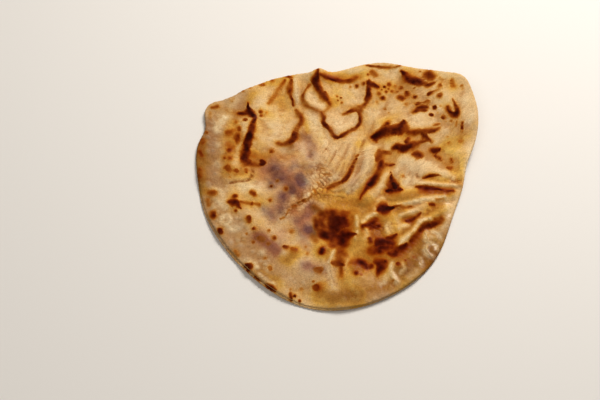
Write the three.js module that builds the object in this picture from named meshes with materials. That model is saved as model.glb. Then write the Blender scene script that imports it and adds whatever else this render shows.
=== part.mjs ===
// A hand-rolled paratha: one round flatbread of layered dough, lying flat with its browned face up.
// Millimetres, +Z up. The origin is under the middle of the bread, on the surface that it lies on.
import * as THREE from "three";

// Driving dimensions
const BASE_RADIUS = 110; // the round that the dough was rolled to
const DOUGH_THICKNESS = 3.6; // the two plies together, away from folds and blisters
const CORNER_LIFT = 18; // how high the curled corner stands
const CORNER_HEADING = 46; // degrees, the way the curled corner points
const CORNER_CURL_START = 36; // from the middle, where the curl leaves the flat
const CORNER_REACH = 146; // from the middle, where the curl is at full height
const PINCH_LIFT = 6; // the pleat pinched into the far edge
const PINCH_X = -16.5;
const PINCH_WIDTH = 16;
const PINCH_START = 66; // from the middle, where the pleat begins
const PINCH_REACH = 116;
const RIM_CURL = 1.6; // the most that the thin edge rises off the surface
const RIM_CURL_BAND = 16; // width of the edge that rises
const ROLLING_WAVE = 0.35; // unevenness left by rolling
const BREAD_COLOUR = 0xd3a265;

// Mesh density
const TOP_RINGS = 32; // rings of triangles on the face, ring k has 6 k vertices
const UNDER_RINGS = 16; // rings on the underside, half as many round the edge
const SIDES = 6;

// Departures of the rim from the round: heading and spread in degrees, out in millimetres
const RIM_BULGES = [
  { heading: 8, out: -3, spread: 8 }, // flattened between the corner and the folds
  { heading: 38, out: 35, spread: 24 }, // the long corner, which curls up
  { heading: 41, out: 4, spread: 5 }, // its point
  { heading: 71, out: 9, spread: 12 }, // its shoulder
  { heading: 97.5, out: -4, spread: 8 }, // hollow drawn in by the pinch
  { heading: 97.5, out: 4.5, spread: 3 }, // nose of the pinch
  { heading: 146.5, out: 9.5, spread: 6 }, // second corner
  { heading: 152, out: 19.5, spread: 44 }, // the swell that carries it
  { heading: 155, out: -2.5, spread: 5 },
  { heading: 179, out: -3, spread: 13 },
  { heading: 261, out: 8.5, spread: 31 }, // near edge
  { heading: 341, out: -8, spread: 22 }, // where the folds gather the edge in
];

// The rim in section, from the face to the underside. Inset runs in from the rim, rise goes from the
// underside, 0, to the face, 1, and step says whether the point goes back with the upper ply.
const RIM_SECTION = [
  { inset: 2.4, rise: 1.0, step: 1 },
  { inset: 0.9, rise: 0.9, step: 1 },
  { inset: 0.2, rise: 0.74, step: 1 },
  { inset: 0.9, rise: 0.56, step: 1 },
  { inset: 0.5, rise: 0.46, step: 0 },
  { inset: 0.0, rise: 0.28, step: 0 },
  { inset: 0.7, rise: 0.08, step: 0 },
  { inset: 1.9, rise: 0.0, step: 0 },
];

// The lower ply stands out from under the upper one, most of all round the near left
const PLY_STEP = { least: 0.3, most: 2.0, heading: 226, spread: 42 };

// Folds and scorched ridges of the face, each a smooth path through a few points
const FOLDS = [
  // folds that fan out from the gathered right edge
  { path: [[105, -4], [88, -2], [70, -1]], width: 3.2, height: 1.8 },
  { path: [[102, -9], [80, -13], [60, -15], [43, -14]], width: 5.5, height: 2.6 },
  { path: [[98, -14], [82, -18], [68, -27], [48, -32]], width: 4.0, height: 2.0 },
  { path: [[94, -22], [84, -30], [66, -42], [50, -61]], width: 4.0, height: 2.4 },
  { path: [[100, 3], [90, 6], [76, 9], [60, 20]], width: 6.0, height: 1.4 },
  { path: [[43, 10], [38, 0], [30, -12], [20, -21]], width: 4.0, height: 1.6 },
  { path: [[30, 34], [27, 20], [20, 5], [4, -8]], width: 5.0, height: 1.6 },
  // flakes of the coiled layers, lifting in the middle
  { path: [[12, 28], [6, 18], [-2, 8], [-14, 1]], width: 3.0, height: 1.2 },
  { path: [[-2, 30], [-8, 18], [-16, 6], [-26, -3]], width: 3.0, height: 1.1 },
  { path: [[-12, 30], [-20, 18], [-28, 10]], width: 3.4, height: 0.9 },
  // buckled ridges of the far half
  { path: [[-79, 79], [-75, 64], [-77, 46], [-81, 24]], width: 5.0, height: 1.4 },
  { path: [[-42, 102], [-40, 82], [-32, 66], [-38, 48], [-50, 38]], width: 4.5, height: 1.3 },
  { path: [[-18, 112], [-20, 101], [-14, 88], [-4, 80]], width: 4.5, height: 1.8 },
  { path: [[-14, 109], [-2, 102], [18, 103]], width: 4.0, height: 1.3 },
  { path: [[-22, 95], [-29, 84], [-18, 71], [-10, 58], [-2, 48]], width: 4.0, height: 1.0 },
  { path: [[26, 100], [29, 86], [20, 73], [17, 58], [2, 48]], width: 4.5, height: 1.3 },
  { path: [[31, 45], [44, 53], [60, 51], [84, 49]], width: 6.0, height: 1.7 },
  { path: [[48, 33], [60, 36], [74, 40], [82, 44]], width: 5.0, height: 1.3 },
  { path: [[59, 106], [64, 99], [76, 94]], width: 4.0, height: 1.1 },
  // rough tear and the swell round the burnt middle
  { path: [[-50, -36], [-40, -22], [-26, -15], [-20, -8]], width: 3.2, height: 1.1 },
  { path: [[14, -28], [16, -42], [8, -62]], width: 5.5, height: 1.3 },
  { path: [[-90, 1], [-78, 2], [-70, 8]], width: 3.2, height: 0.9 },
];

// Air blisters, most of them round the left edge and in the wet patch at the near right
const BLISTERS = [
  { x: -92, y: 82, across: 13, height: 1.0 },
  { x: -80, y: 62, across: 10, height: 0.9 },
  { x: -95, y: 51, across: 12, height: 0.9 },
  { x: -92, y: 16, across: 15, height: 1.0 },
  { x: -107, y: -10, across: 12, height: 1.1 },
  { x: -73, y: -11, across: 17, height: 1.5 },
  { x: -88, y: -19, across: 15, height: 1.5 },
  { x: -105, y: -32, across: 10, height: 1.2 },
  { x: -93, y: -38, across: 14, height: 1.1 },
  { x: -76, y: -35, across: 13, height: 1.2 },
  { x: -99, y: -48, across: 9, height: 1.0 },
  { x: -75, y: -80, across: 13, height: 1.6 },
  { x: -38, y: -64, across: 14, height: 1.1 },
  { x: -14, y: -66, across: 15, height: 1.7 },
  { x: -17, y: -98, across: 12, height: 1.1 },
  { x: 15, y: -86, across: 18, height: 1.4 },
  { x: 76, y: -54, across: 14, height: 1.6 },
  { x: 78, y: -66, across: 13, height: 1.5 },
  { x: 50, y: -80, across: 12, height: 1.5 },
  { x: 44, y: -91, across: 11, height: 1.2 },
  { x: 115, y: 74, across: 10, height: 0.8 },
  { x: 116, y: 58, across: 11, height: 0.8 },
];

const PATH_SAMPLES = 40;
const radians = THREE.MathUtils.degToRad;
const bell = (distance, width) => Math.exp(-((distance / width) ** 2));

// Degrees between two headings, from -180 to 180
function turnBetween(a, b) {
  return THREE.MathUtils.euclideanModulo(a - b + 180, 360) - 180;
}

// Distance from the middle to the rim
function rimRadius(heading) {
  const bulges = RIM_BULGES.map((b) => b.out * bell(turnBetween(heading, b.heading), b.spread));
  return bulges.reduce((sum, out) => sum + out, BASE_RADIUS);
}

// How far the upper ply stands back from the rim
function plyStep(heading) {
  const { least, most, heading: middle, spread } = PLY_STEP;
  return least + (most - least) * bell(turnBetween(heading, middle), spread);
}

// Height of the underside: flat, but for the curled corner, the pleat and the thin edge
function underside(x, y) {
  const heading = THREE.MathUtils.radToDeg(Math.atan2(y, x));
  const corner = radians(CORNER_HEADING);
  const along = x * Math.cos(corner) + y * Math.sin(corner);
  const curl = THREE.MathUtils.clamp((along - CORNER_CURL_START) / (CORNER_REACH - CORNER_CURL_START), 0, 1.2);
  const pleat = THREE.MathUtils.clamp((y - PINCH_START) / (PINCH_REACH - PINCH_START), 0, 1.2);
  const fromRim = rimRadius(heading) - Math.hypot(x, y);
  const edge = THREE.MathUtils.clamp(1 - fromRim / RIM_CURL_BAND, 0, 1);
  const flutter = 0.5 + 0.3 * Math.sin(radians(5 * heading + 40)) + 0.2 * Math.sin(radians(11 * heading));
  return (
    CORNER_LIFT * curl ** 2 +
    PINCH_LIFT * pleat ** 2 * bell(x - PINCH_X, PINCH_WIDTH) +
    RIM_CURL * edge ** 2 * flutter
  );
}

// Each fold with its path as a row of close points
const foldPaths = FOLDS.map(({ path, width, height }) => {
  const curve = new THREE.CatmullRomCurve3(path.map(([x, y]) => new THREE.Vector3(x, y, 0)));
  return { points: curve.getSpacedPoints(PATH_SAMPLES), width, height };
});

// A ridge that is highest on its path and dies away at both ends
function foldHeight({ points, width, height }, x, y) {
  let nearest = Infinity;
  let at = 0;
  points.forEach((point, i) => {
    const distance = Math.hypot(point.x - x, point.y - y);
    if (distance < nearest) {
      nearest = distance;
      at = i / PATH_SAMPLES;
    }
  });
  const taper = Math.min(1, 0.35 + 4 * Math.min(at, 1 - at));
  return height * taper * bell(nearest, width);
}

function blisterHeight({ x: bx, y: by, across, height }, x, y) {
  return height * bell(Math.hypot(x - bx, y - by), across / 2.4);
}

// What stands above the plain dough on the face
function relief(x, y) {
  const ridges = foldPaths.map((fold) => foldHeight(fold, x, y));
  const bumps = BLISTERS.map((blister) => blisterHeight(blister, x, y));
  const wave = Math.sin(x / 9 + y / 21) + Math.sin(y / 11 - x / 17) + Math.sin((x + y) / 6.5);
  return Math.max(0, ...ridges) + Math.max(0, ...bumps) + ROLLING_WAVE * wave;
}

// Vertices and triangles of the solid as they are made
const vertices = [];
const triangles = [];

function addVertex(x, y, z) {
  vertices.push(x, y, z);
  return vertices.length / 3 - 1;
}

// A ring of vertices: place(heading, rim radius) gives [radius, height]
function addRing(count, place) {
  return Array.from({ length: count }, (_, i) => {
    const heading = (360 * i) / count;
    const [radius, height] = place(heading, rimRadius(heading));
    const x = radius * Math.cos(radians(heading));
    const y = radius * Math.sin(radians(heading));
    return addVertex(x, y, height(x, y));
  });
}

// Triangles between two rings, the outer one with as many vertices or more. Turned over for the underside.
function joinRings(inner, outer, turned) {
  const add = (a, b, c) => triangles.push(a, turned ? c : b, turned ? b : c);
  let i = 0;
  let o = 0;
  while (i < inner.length || o < outer.length) {
    const here = inner[i % inner.length];
    const there = outer[o % outer.length];
    const stepOut = i >= inner.length || (o < outer.length && (o + 0.5) * inner.length <= (i + 0.5) * outer.length);
    if (stepOut) {
      add(here, there, outer[(o + 1) % outer.length]);
      o += 1;
    } else {
      add(here, there, inner[(i + 1) % inner.length]);
      i += 1;
    }
  }
}

// A disc of triangles, ring by ring, out to a given radius for each heading. Returns its last ring.
function addDisc(rings, reach, height, turned) {
  const middle = addVertex(0, 0, height(0, 0));
  let inner = null;
  for (let k = 1; k <= rings; k += 1) {
    const outer = addRing(SIDES * k, (heading, rim) => [(reach(heading, rim) * k) / rings, height]);
    if (inner) {
      joinRings(inner, outer, turned);
    } else {
      outer.forEach((v, i) => {
        const next = outer[(i + 1) % SIDES];
        triangles.push(middle, turned ? next : v, turned ? v : next);
      });
    }
    inner = outer;
  }
  return inner;
}

const faceHeight = (x, y) => underside(x, y) + DOUGH_THICKNESS + relief(x, y);
const sectionInset = (point, heading) => point.inset + point.step * plyStep(heading);

// The face, the rim from its top edge down to the underside, and the underside
function buildBread() {
  const [topEdge, ...section] = RIM_SECTION;
  let above = addDisc(TOP_RINGS, (heading, rim) => rim - sectionInset(topEdge, heading), faceHeight, false);
  section.forEach((point) => {
    const height = (x, y) => THREE.MathUtils.lerp(underside(x, y), faceHeight(x, y), point.rise);
    const below = addRing(SIDES * TOP_RINGS, (heading, rim) => [rim - sectionInset(point, heading), height]);
    joinRings(above, below, false);
    above = below;
  });
  const lastInset = RIM_SECTION.at(-1).inset;
  const underReach = (heading, rim) => ((rim - lastInset) * UNDER_RINGS) / (UNDER_RINGS + 1);
  const underEdge = addDisc(UNDER_RINGS, underReach, underside, true);
  joinRings(underEdge, above, true);

  const geometry = new THREE.BufferGeometry();
  geometry.setAttribute("position", new THREE.Float32BufferAttribute(vertices, 3));
  geometry.setIndex(triangles);
  geometry.computeVertexNormals();
  return geometry;
}

const bread = new THREE.Mesh(
  buildBread(),
  new THREE.MeshStandardMaterial({ color: BREAD_COLOUR, roughness: 0.6, metalness: 0 }),
);
bread.name = "paratha";

const part = new THREE.Group();
part.add(bread);

export default part;
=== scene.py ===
# %% [markdown]
# # A paratha from the griddle
#
# A paratha is a round of wheat dough, folded with ghee, rolled out again by hand and browned on an iron
# griddle. The solid already has its outline, its curled corner, its big folds and its two-ply rim. This
# script gives it the fine surface: flakes, blisters, scorch marks, and the soft shine of ghee.
#
# The way: copy the solid to a finer mesh, paint marks along listed paths with Geometry Nodes, let the
# same marks raise the skin, and read them in one material.

# %% Load the frame
import math
import random

import bmesh
import bpy
import numpy as np
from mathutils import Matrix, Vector


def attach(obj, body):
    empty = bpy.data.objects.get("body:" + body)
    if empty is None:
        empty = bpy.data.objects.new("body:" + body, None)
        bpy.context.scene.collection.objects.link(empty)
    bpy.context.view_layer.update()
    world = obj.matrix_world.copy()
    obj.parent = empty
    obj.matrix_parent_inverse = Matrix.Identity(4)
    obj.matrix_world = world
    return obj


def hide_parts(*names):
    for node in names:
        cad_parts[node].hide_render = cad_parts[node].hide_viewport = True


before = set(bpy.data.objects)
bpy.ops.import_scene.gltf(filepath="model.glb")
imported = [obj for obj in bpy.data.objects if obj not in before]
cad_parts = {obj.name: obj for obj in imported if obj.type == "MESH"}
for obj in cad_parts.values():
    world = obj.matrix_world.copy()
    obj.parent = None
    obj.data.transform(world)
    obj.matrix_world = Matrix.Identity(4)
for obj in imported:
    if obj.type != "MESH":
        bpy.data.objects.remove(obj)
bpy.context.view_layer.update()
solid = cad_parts["paratha"]
MM = 0.001

# %% [markdown]
# ## The camera
#
# The bread is seen from steeply above its near edge, with a long lens, so its round stays almost a round.
# The camera looks along +Y and down at a point on the bread, left of and nearer than its middle, so no
# shift of the lens is needed.

# %% Camera
CAMERA_ELEVATION = math.radians(62)
CAMERA_DISTANCE = 0.992
CAMERA_AIM = Vector((-32.5, -17.0, 3.0)) * MM
LENS, SENSOR_WIDTH = 70, 36  # in mm, as on a real camera


def put(name, data):
    """A new object of the data, linked into the scene."""
    made = bpy.data.objects.new(name, data)
    bpy.context.scene.collection.objects.link(made)
    return made


camera_data = bpy.data.cameras.new("camera")
camera_data.lens = LENS
camera_data.sensor_width = SENSOR_WIDTH
camera = put("camera", camera_data)
back = Vector((0, -math.cos(CAMERA_ELEVATION), math.sin(CAMERA_ELEVATION)))
camera.location = CAMERA_AIM + back * CAMERA_DISTANCE
camera.rotation_euler = (math.pi / 2 - CAMERA_ELEVATION, 0, 0)
bpy.context.scene.camera = camera
print("camera at", [round(v, 3) for v in camera.location])

# %% [markdown]
# ## A finer skin
#
# The solid is loose triangles about 4 mm wide, too coarse for flakes. A copy is merged and its edges are
# cut: those of the face into five, the longer ones of the underside into three, and the short ones of the
# rim not at all. A subdivision surface would do it too, but on triangles it leaves lumps at the old
# corners. Cutting keeps the old flat facets, so the points are then relaxed: one step towards the
# neighbours and one slightly longer step back, which smooths without shrinking the rim.

# %% Fine mesh
MERGE_WITHIN = 0.01 * MM
FACE_CUTS, UNDER_CUTS = 4, 2
FACE_EDGE, UNDER_EDGE = 2.4 * MM, 5.6 * MM  # longer edges are the face's, still longer ones the underside's
RELAX_ROUNDS = 20
RELAX_IN, RELAX_OUT = 0.5, -0.52


def relaxed(points, edges):
    """Points after rounds of Taubin smoothing along the edges."""
    count = np.zeros(len(points))
    for end in (0, 1):
        np.add.at(count, edges[:, end], 1)
    for factor in [RELAX_IN, RELAX_OUT] * RELAX_ROUNDS:
        total = np.zeros_like(points)
        np.add.at(total, edges[:, 0], points[edges[:, 1]])
        np.add.at(total, edges[:, 1], points[edges[:, 0]])
        points = points + factor * (total / count[:, None] - points)
    return points


def fine_copy(source):
    """A merged, cut and relaxed copy of a node's mesh."""
    mesh = source.data.copy()
    shape = bmesh.new()
    shape.from_mesh(mesh)
    bmesh.ops.remove_doubles(shape, verts=shape.verts, dist=MERGE_WITHIN)
    face_edges = [e for e in shape.edges if FACE_EDGE < e.calc_length() < UNDER_EDGE]
    under_edges = [e for e in shape.edges if e.calc_length() >= UNDER_EDGE]
    bmesh.ops.subdivide_edges(shape, edges=face_edges, cuts=FACE_CUTS, use_grid_fill=True)
    bmesh.ops.subdivide_edges(shape, edges=under_edges, cuts=UNDER_CUTS, use_grid_fill=True)
    bmesh.ops.triangulate(shape, faces=shape.faces)
    shape.to_mesh(mesh)
    shape.free()
    points = np.array([v.co for v in mesh.vertices])
    edges = np.array([e.vertices for e in mesh.edges])
    points = relaxed(points, edges)
    points[:, 2] = np.maximum(points[:, 2], 0)
    mesh.vertices.foreach_set("co", points.ravel())
    mesh.shade_smooth()
    mesh.update()
    return mesh


bread_mesh = fine_copy(solid)
bread_mesh.name = "paratha_skin"
bread_mesh.materials.clear()
bread = put("paratha_skin", bread_mesh)
print("fine skin:", len(bread_mesh.polygons), "triangles")

# %% [markdown]
# ## Marks as paths
#
# On the griddle only the high parts of a buckled round touch the iron, so the scorch runs along ridges as
# strokes, and each blister leaves a dot. Both are drawn here as short paths in plan, in millimetres: how
# strong, half the width, then the points. A point may give its own half width, and a dot may be a path of
# a single point. Painting by hand onto a texture would look the same, but paths stay sharp at any size and
# can raise the skin as well.

# %% Burnt strokes of the far half
BURNS = [
    # left ridge, its side branches and its foot
    (1.0, 2.4, [(-78.8, 80, 0.6), (-78.5, 75, 1.3), (-77.5, 71, 2.6), (-75, 67.5, 2.4), (-72.5, 64, 2),
        (-73.5, 58, 1.7)]),
    (0.9, 3.0, [(-73.5, 58, 1.7), (-75.3, 52, 2.2), (-76.5, 46, 3.0), (-77.8, 41, 3.8), (-79, 37, 3.8),
        (-79, 32, 3.4)]),
    (1.0, 3.0, [(-79, 32, 3.4), (-80.5, 27, 3.6), (-81, 23, 2.8)]),
    (0.72, 1.8, [(-80, 22, 2.8), (-77, 19, 2), (-82, 15.5, 1)]),
    (0.70, 1.6, [(-82, 69.5, 2.0), (-87, 69.5, 1.5)]),
    (0.76, 1.8, [(-87, 49, 1.3), (-87.5, 44, 2.1), (-87, 40, 1.6)]),
    (0.40, 1.8, [(-76, 18), (-71, 17.5), (-67.5, 18)]),
    # ridge left of the middle and the light streak beside it
    (0.46, 1.7, [(-60.5, 80, 1.2), (-57, 86, 1.8), (-52.5, 93, 1.8), (-48.5, 100, 1.6), (-46, 104, 1.2)]),
    (0.82, 2.0, [(-40.3, 104, 0.9), (-40.7, 100, 1.6), (-41.4, 94, 2.1), (-41.3, 89, 1.7),
        (-39.8, 84, 1.1), (-38.6, 77, 0.9)]),
    (0.76, 2.0, [(-36, 72, 0.8), (-33.5, 68, 1.8), (-31.5, 64, 1.8), (-31.7, 60, 1.6), (-34, 55.5, 1.6),
        (-36, 50.5, 1.8)]),
    (0.98, 2.2, [(-36.5, 49, 1.8), (-37.5, 45, 2.5), (-39.5, 41.5, 2.1), (-43.5, 38.5, 1.4)]),
    (0.64, 1.5, [(-44.5, 38.2, 1.4), (-48, 37, 1.1), (-51.5, 38, 1.9)]),
    # the pleat at the far edge
    (0.95, 2.4, [(-16.5, 110.5, 0.8), (-17.6, 105, 2.1), (-18.5, 101, 2.8), (-17, 96, 2.6),
        (-15.3, 92, 2.6)]),
    (0.86, 2.4, [(-15.3, 92, 2.6), (-13.5, 88.5, 2.8), (-11.3, 85, 3.0), (-9, 82.5, 1.8)]),
    (0.62, 1.8, [(-14.5, 107, 1.0), (-9, 104, 1.6), (-2, 102, 1.8), (5, 101.3, 1.8), (12, 101.5, 1.6),
        (18, 104, 1.4)]),
    (0.52, 1.4, [(-7.5, 79.5, 1.7), (-6.5, 76.5, 1.1), (-9.5, 72.3, 1.3), (-13, 69.5, 1.4)]),
    # net of thin ridges in the far middle
    (0.54, 1.5, [(-24, 97.5, 1.1), (-28, 92, 1.0), (-29.7, 87, 1.3), (-30.3, 82, 1.7), (-28.5, 78, 1.7)]),
    (0.56, 1.6, [(-28.5, 78, 1.7), (-25, 75, 1.6), (-20, 72.3, 1.3), (-15.5, 70, 1.5)]),
    (0.74, 1.7, [(-13.5, 69, 2.0), (-12, 65, 1.7), (-12.3, 60.5, 1.5), (-10.3, 56.5, 1.9),
        (-7, 52.5, 1.8), (-4.3, 48.5, 1.4)]),
    (0.78, 1.6, [(-4.3, 48.5, 1.4), (-2.5, 45.5, 1.7), (0.7, 44.5, 1.6), (4, 46, 1.5), (7.5, 48.3, 1.4)]),
    # forked ridge right of the middle
    (0.95, 2.4, [(29, 100, 0.8), (29, 97, 2.8), (32.5, 95.5, 2.0), (36.5, 93.7, 1.1)]),
    (0.96, 2.1, [(28.5, 94, 2.2), (28.2, 88, 2.1), (27.7, 83, 2.1), (26.5, 79, 1.4), (24, 76, 1.5),
        (21, 73.5, 2.0)]),
    (0.84, 1.6, [(21, 71.4, 2.0), (16.5, 71.4, 1.8), (12, 70.8, 1.6), (8, 69.5, 1.2), (5.5, 68.4, 0.7)]),
    (0.80, 1.6, [(19.7, 70, 2.2), (20.2, 66, 1.5), (20.3, 61.5, 1.2), (19, 57, 1.3), (15.5, 53.8, 1.1),
        (11.5, 51.3, 1.3)]),
    (0.78, 1.4, [(11.5, 51.3, 1.3), (7.5, 48.3, 1.4)]),
    # burns along the far edge and at the far right
    (0.95, 2.6, [(58, 107, 1.2), (60.5, 103.5, 2.1), (64, 99, 3.0), (69, 97, 2.8), (74, 95, 2.1),
        (77.5, 94, 0.9)]),
    (0.86, 1.6, [(78, 93.2, 1.1), (80.5, 91.6, 1.8), (84, 92.8, 1.1), (86.5, 93.6, 0.6)]),
    (0.72, 3.4, [(81, 102, 3.2), (82.8, 98.8, 3.4)]),
    (0.62, 1.1, [(27, 115, 0.7), (35, 114, 1.0), (46, 112, 1.4), (52, 111.6, 1.0), (57, 112.3, 0.6)]),
    (0.92, 1.8, [(96.5, 69, 1.4), (97.7, 66, 1.7), (100, 62.8, 1.9), (103, 61.6, 2.3), (105, 64, 1.6)]),
    (0.78, 1.4, [(101.5, 76.3, 0.8), (103, 72, 1.2), (104.5, 68, 1.4), (105.2, 64, 1.5)]),
    # the long burn of the right half, its two peaks and its tail
    (0.92, 3.0, [(29.5, 44.4, 0.8), (33, 44.9, 2.4), (37.5, 46.7, 3.4), (43.5, 49.8, 5.2)]),
    (0.92, 4.0, [(43.5, 49.8, 5.2), (50.5, 49.3, 4.2), (57, 50.8, 4.8), (60.3, 49, 2.8)]),
    (1.0, 2.6, [(42.5, 54, 2.6), (44.7, 58.3, 1.3)]), (0.92, 2.2, [(57.8, 56, 2.6), (58.3, 60, 1.0)]),
    (0.84, 2.0, [(60, 48.3, 2.6), (66, 47.8, 2.0), (72, 47.5, 1.8), (78, 47.4, 1.9), (84, 48.6, 1.5),
        (89.5, 51, 0.8)]),
    (0.80, 1.6, [(33, 42.5, 1.8), (34, 39.5, 1.1)]),
    (0.85, 1.7, [(74, 46, 1.8), (76.5, 43, 1.9), (79, 40.5, 1.5), (82, 38, 0.8)]),
    # second burn below it, and the rusty edge of the fold
    (0.95, 2.8, [(48.6, 32.5, 1.8), (52, 34, 2.6), (56, 32.3, 3.1), (61, 32.9, 3.2), (64, 35.3, 2.7),
        (68, 36.4, 2.0)]),
    (0.74, 1.3, [(68, 36.4, 1.8), (72, 38, 1.2), (78, 39.6, 1.1), (82, 38, 0.8)]),
    (0.92, 1.8, [(60.7, 38, 2.2), (62, 41.6, 1.4)]),
    (0.52, 2.4, [(36, 32, 1.0), (36, 29, 2.0), (35, 25.5, 2.4), (34.3, 21.5, 1.6)]),
    (0.50, 1.6, [(38, 29.5, 1.6), (43, 29.5, 2.0), (46.5, 28, 1.1)]),
    (0.82, 1.6, [(48.5, 18, 0.9), (45, 16.8, 1.5), (41, 17.5, 1.5), (38, 18.5, 2.0)]),
    # long diagonal down to the middle, and the black wedge beside it
    (0.93, 2.2, [(38.3, 19.5, 1.7), (37.3, 15, 2.2), (34.5, 9.5, 1.9), (32, 4, 2.1), (29.5, 0, 2.2),
        (26.5, -3.5, 1.7)]),
    (0.72, 1.2, [(26.5, -3.5, 1.5), (23.5, -7.5, 1.2), (21, -12, 0.9), (18.5, -17, 0.6)]),
    (1.0, 3.0, [(45.2, 9, 0.7), (45.8, 4.5, 1.5), (46.8, 0, 3.0), (47.5, -4.5, 4.4)]),
    (0.97, 2.0, [(41.5, -9, 1.1), (46, -8, 2.3), (51, -7.5, 2.3), (54.5, -7.8, 0.9)]),
]
print(len(BURNS), "burnt strokes of the far half")

# %% Burnt strokes of the near half
BURNS += [
    # big burn of the near middle: heart, left edge, foot, arm and drip
    (1.0, 3.6, [(1.5, -35.5, 2.0), (0.8, -39, 4.4), (-0.5, -44, 2.8)]),
    (0.82, 1.6, [(-12.5, -50.5, 1.6), (-10, -53, 1.4)]), (0.95, 1.5, [(2.5, -55.5), (3.2, -57, 1.2)]),
    (0.84, 1.4, [(8, -50.3, 1.6), (11, -51, 1.5), (14, -51.2, 0.7)]), (0.80, 1.4, [(3, -48), (3.5, -50)]),
    (0.72, 1.8, [(-6, -76, 0.9), (-2, -77, 2.0), (2, -78, 1.8), (4, -78, 0.8)]),
    (0.42, 1.6, [(1, -80), (1.5, -84, 1.4), (1.8, -89, 0.5)]),
    # folds of the right edge: scorch lies in front of each ridge
    (0.97, 1.8, [(66.8, -4.9, 0.8), (71, -6.3, 1.8), (76, -7.2, 2.2), (83, -7.8, 1.4), (89, -9.4, 1.0),
        (93.5, -10.4, 0.7), (98, -10, 0.4)]),
    (0.74, 1.0, [(73, 3.2, 0.8), (76, 3.9, 1.2), (79.5, 4.7, 1.3), (83, 5.1, 0.9), (88, 4.6, 0.4)]),
    (0.97, 3.0, [(34.2, -26.5, 1.8), (37, -24.6, 3.6), (39.5, -26, 3.2), (43.3, -26, 1.8),
        (47, -24.3, 1.0)]),
    (0.58, 1.0, [(47, -24, 1.0), (52, -23.2), (57, -24.4), (62, -23.8, 0.6)]),
    (0.97, 1.6, [(57, -37.4, 0.7), (60, -37.1, 1.3), (63.5, -35.8, 1.5), (66, -33.8, 1.0),
        (69.5, -30.4, 0.5)]),
    (0.72, 1.5, [(77.6, -22.6, 0.9), (80, -22.6, 1.3), (81, -23, 0.8)]),
    (0.50, 0.8, [(83, -18.5), (89, -17.3, 0.6)]), (0.44, 1.2, [(81, -36.6, 0.8), (84, -36.8, 0.9)]),
    (0.64, 1.6, [(87, -36, 1.0), (83.5, -39, 1.7), (78, -41.8, 2.0)]),
    (0.88, 2.0, [(77, -42.3, 2.0), (72.5, -42.2, 2.2), (70, -44.5, 1.9), (67, -48, 1.3)]),
    (0.66, 1.4, [(67, -48, 1.3), (64, -51.5, 1.5), (60, -56, 1.2)]),
    (0.88, 2.4, [(56, -59.5, 1.0), (53, -62, 1.9), (48.5, -64.5, 2.5), (45, -67.5, 2.8),
        (41.5, -67.5, 1.4)]),
    # broken dark patches of the near right
    (0.70, 2.0, [(20.5, -43, 1.3), (24.5, -41.7, 1.8), (28.3, -39, 2.2), (31, -36, 1.4)]),
    (0.72, 1.5, [(27, -43.3, 1.4), (33.5, -42, 1.5)]), (0.76, 1.3, [(25.5, -53.5, 1.1), (26, -56.5, 1.1)]),
    (0.88, 1.5, [(40, -53.5, 1.1), (44, -52.5, 1.7), (48, -50, 1.1)]),
    (0.90, 2.6, [(31, -60, 1.4), (34, -57.5, 2.9), (40, -57, 2.5), (44, -58.5, 1.3)]),
    (0.60, 2.4, [(25.5, -65.5, 1.8), (30, -64.5, 2.0), (36, -63, 2.4), (43, -61.5, 2.0)]),
    (0.98, 2.0, [(34, -66)]), (0.76, 2.4, [(16.5, -74.5, 2.0), (20, -76.5, 2.2), (22.5, -80, 2.4)]),
    (0.52, 2.2, [(22.5, -80, 2.4), (27, -79, 1.8)]),
    (0.64, 3.0, [(31, -75, 2.6), (35, -78, 3.6), (32.5, -82.5, 2.4), (31, -88, 0.9)]),
    (0.95, 1.7, [(38, -75.5)]),
]
print(len(BURNS), "burnt strokes in all")

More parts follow.
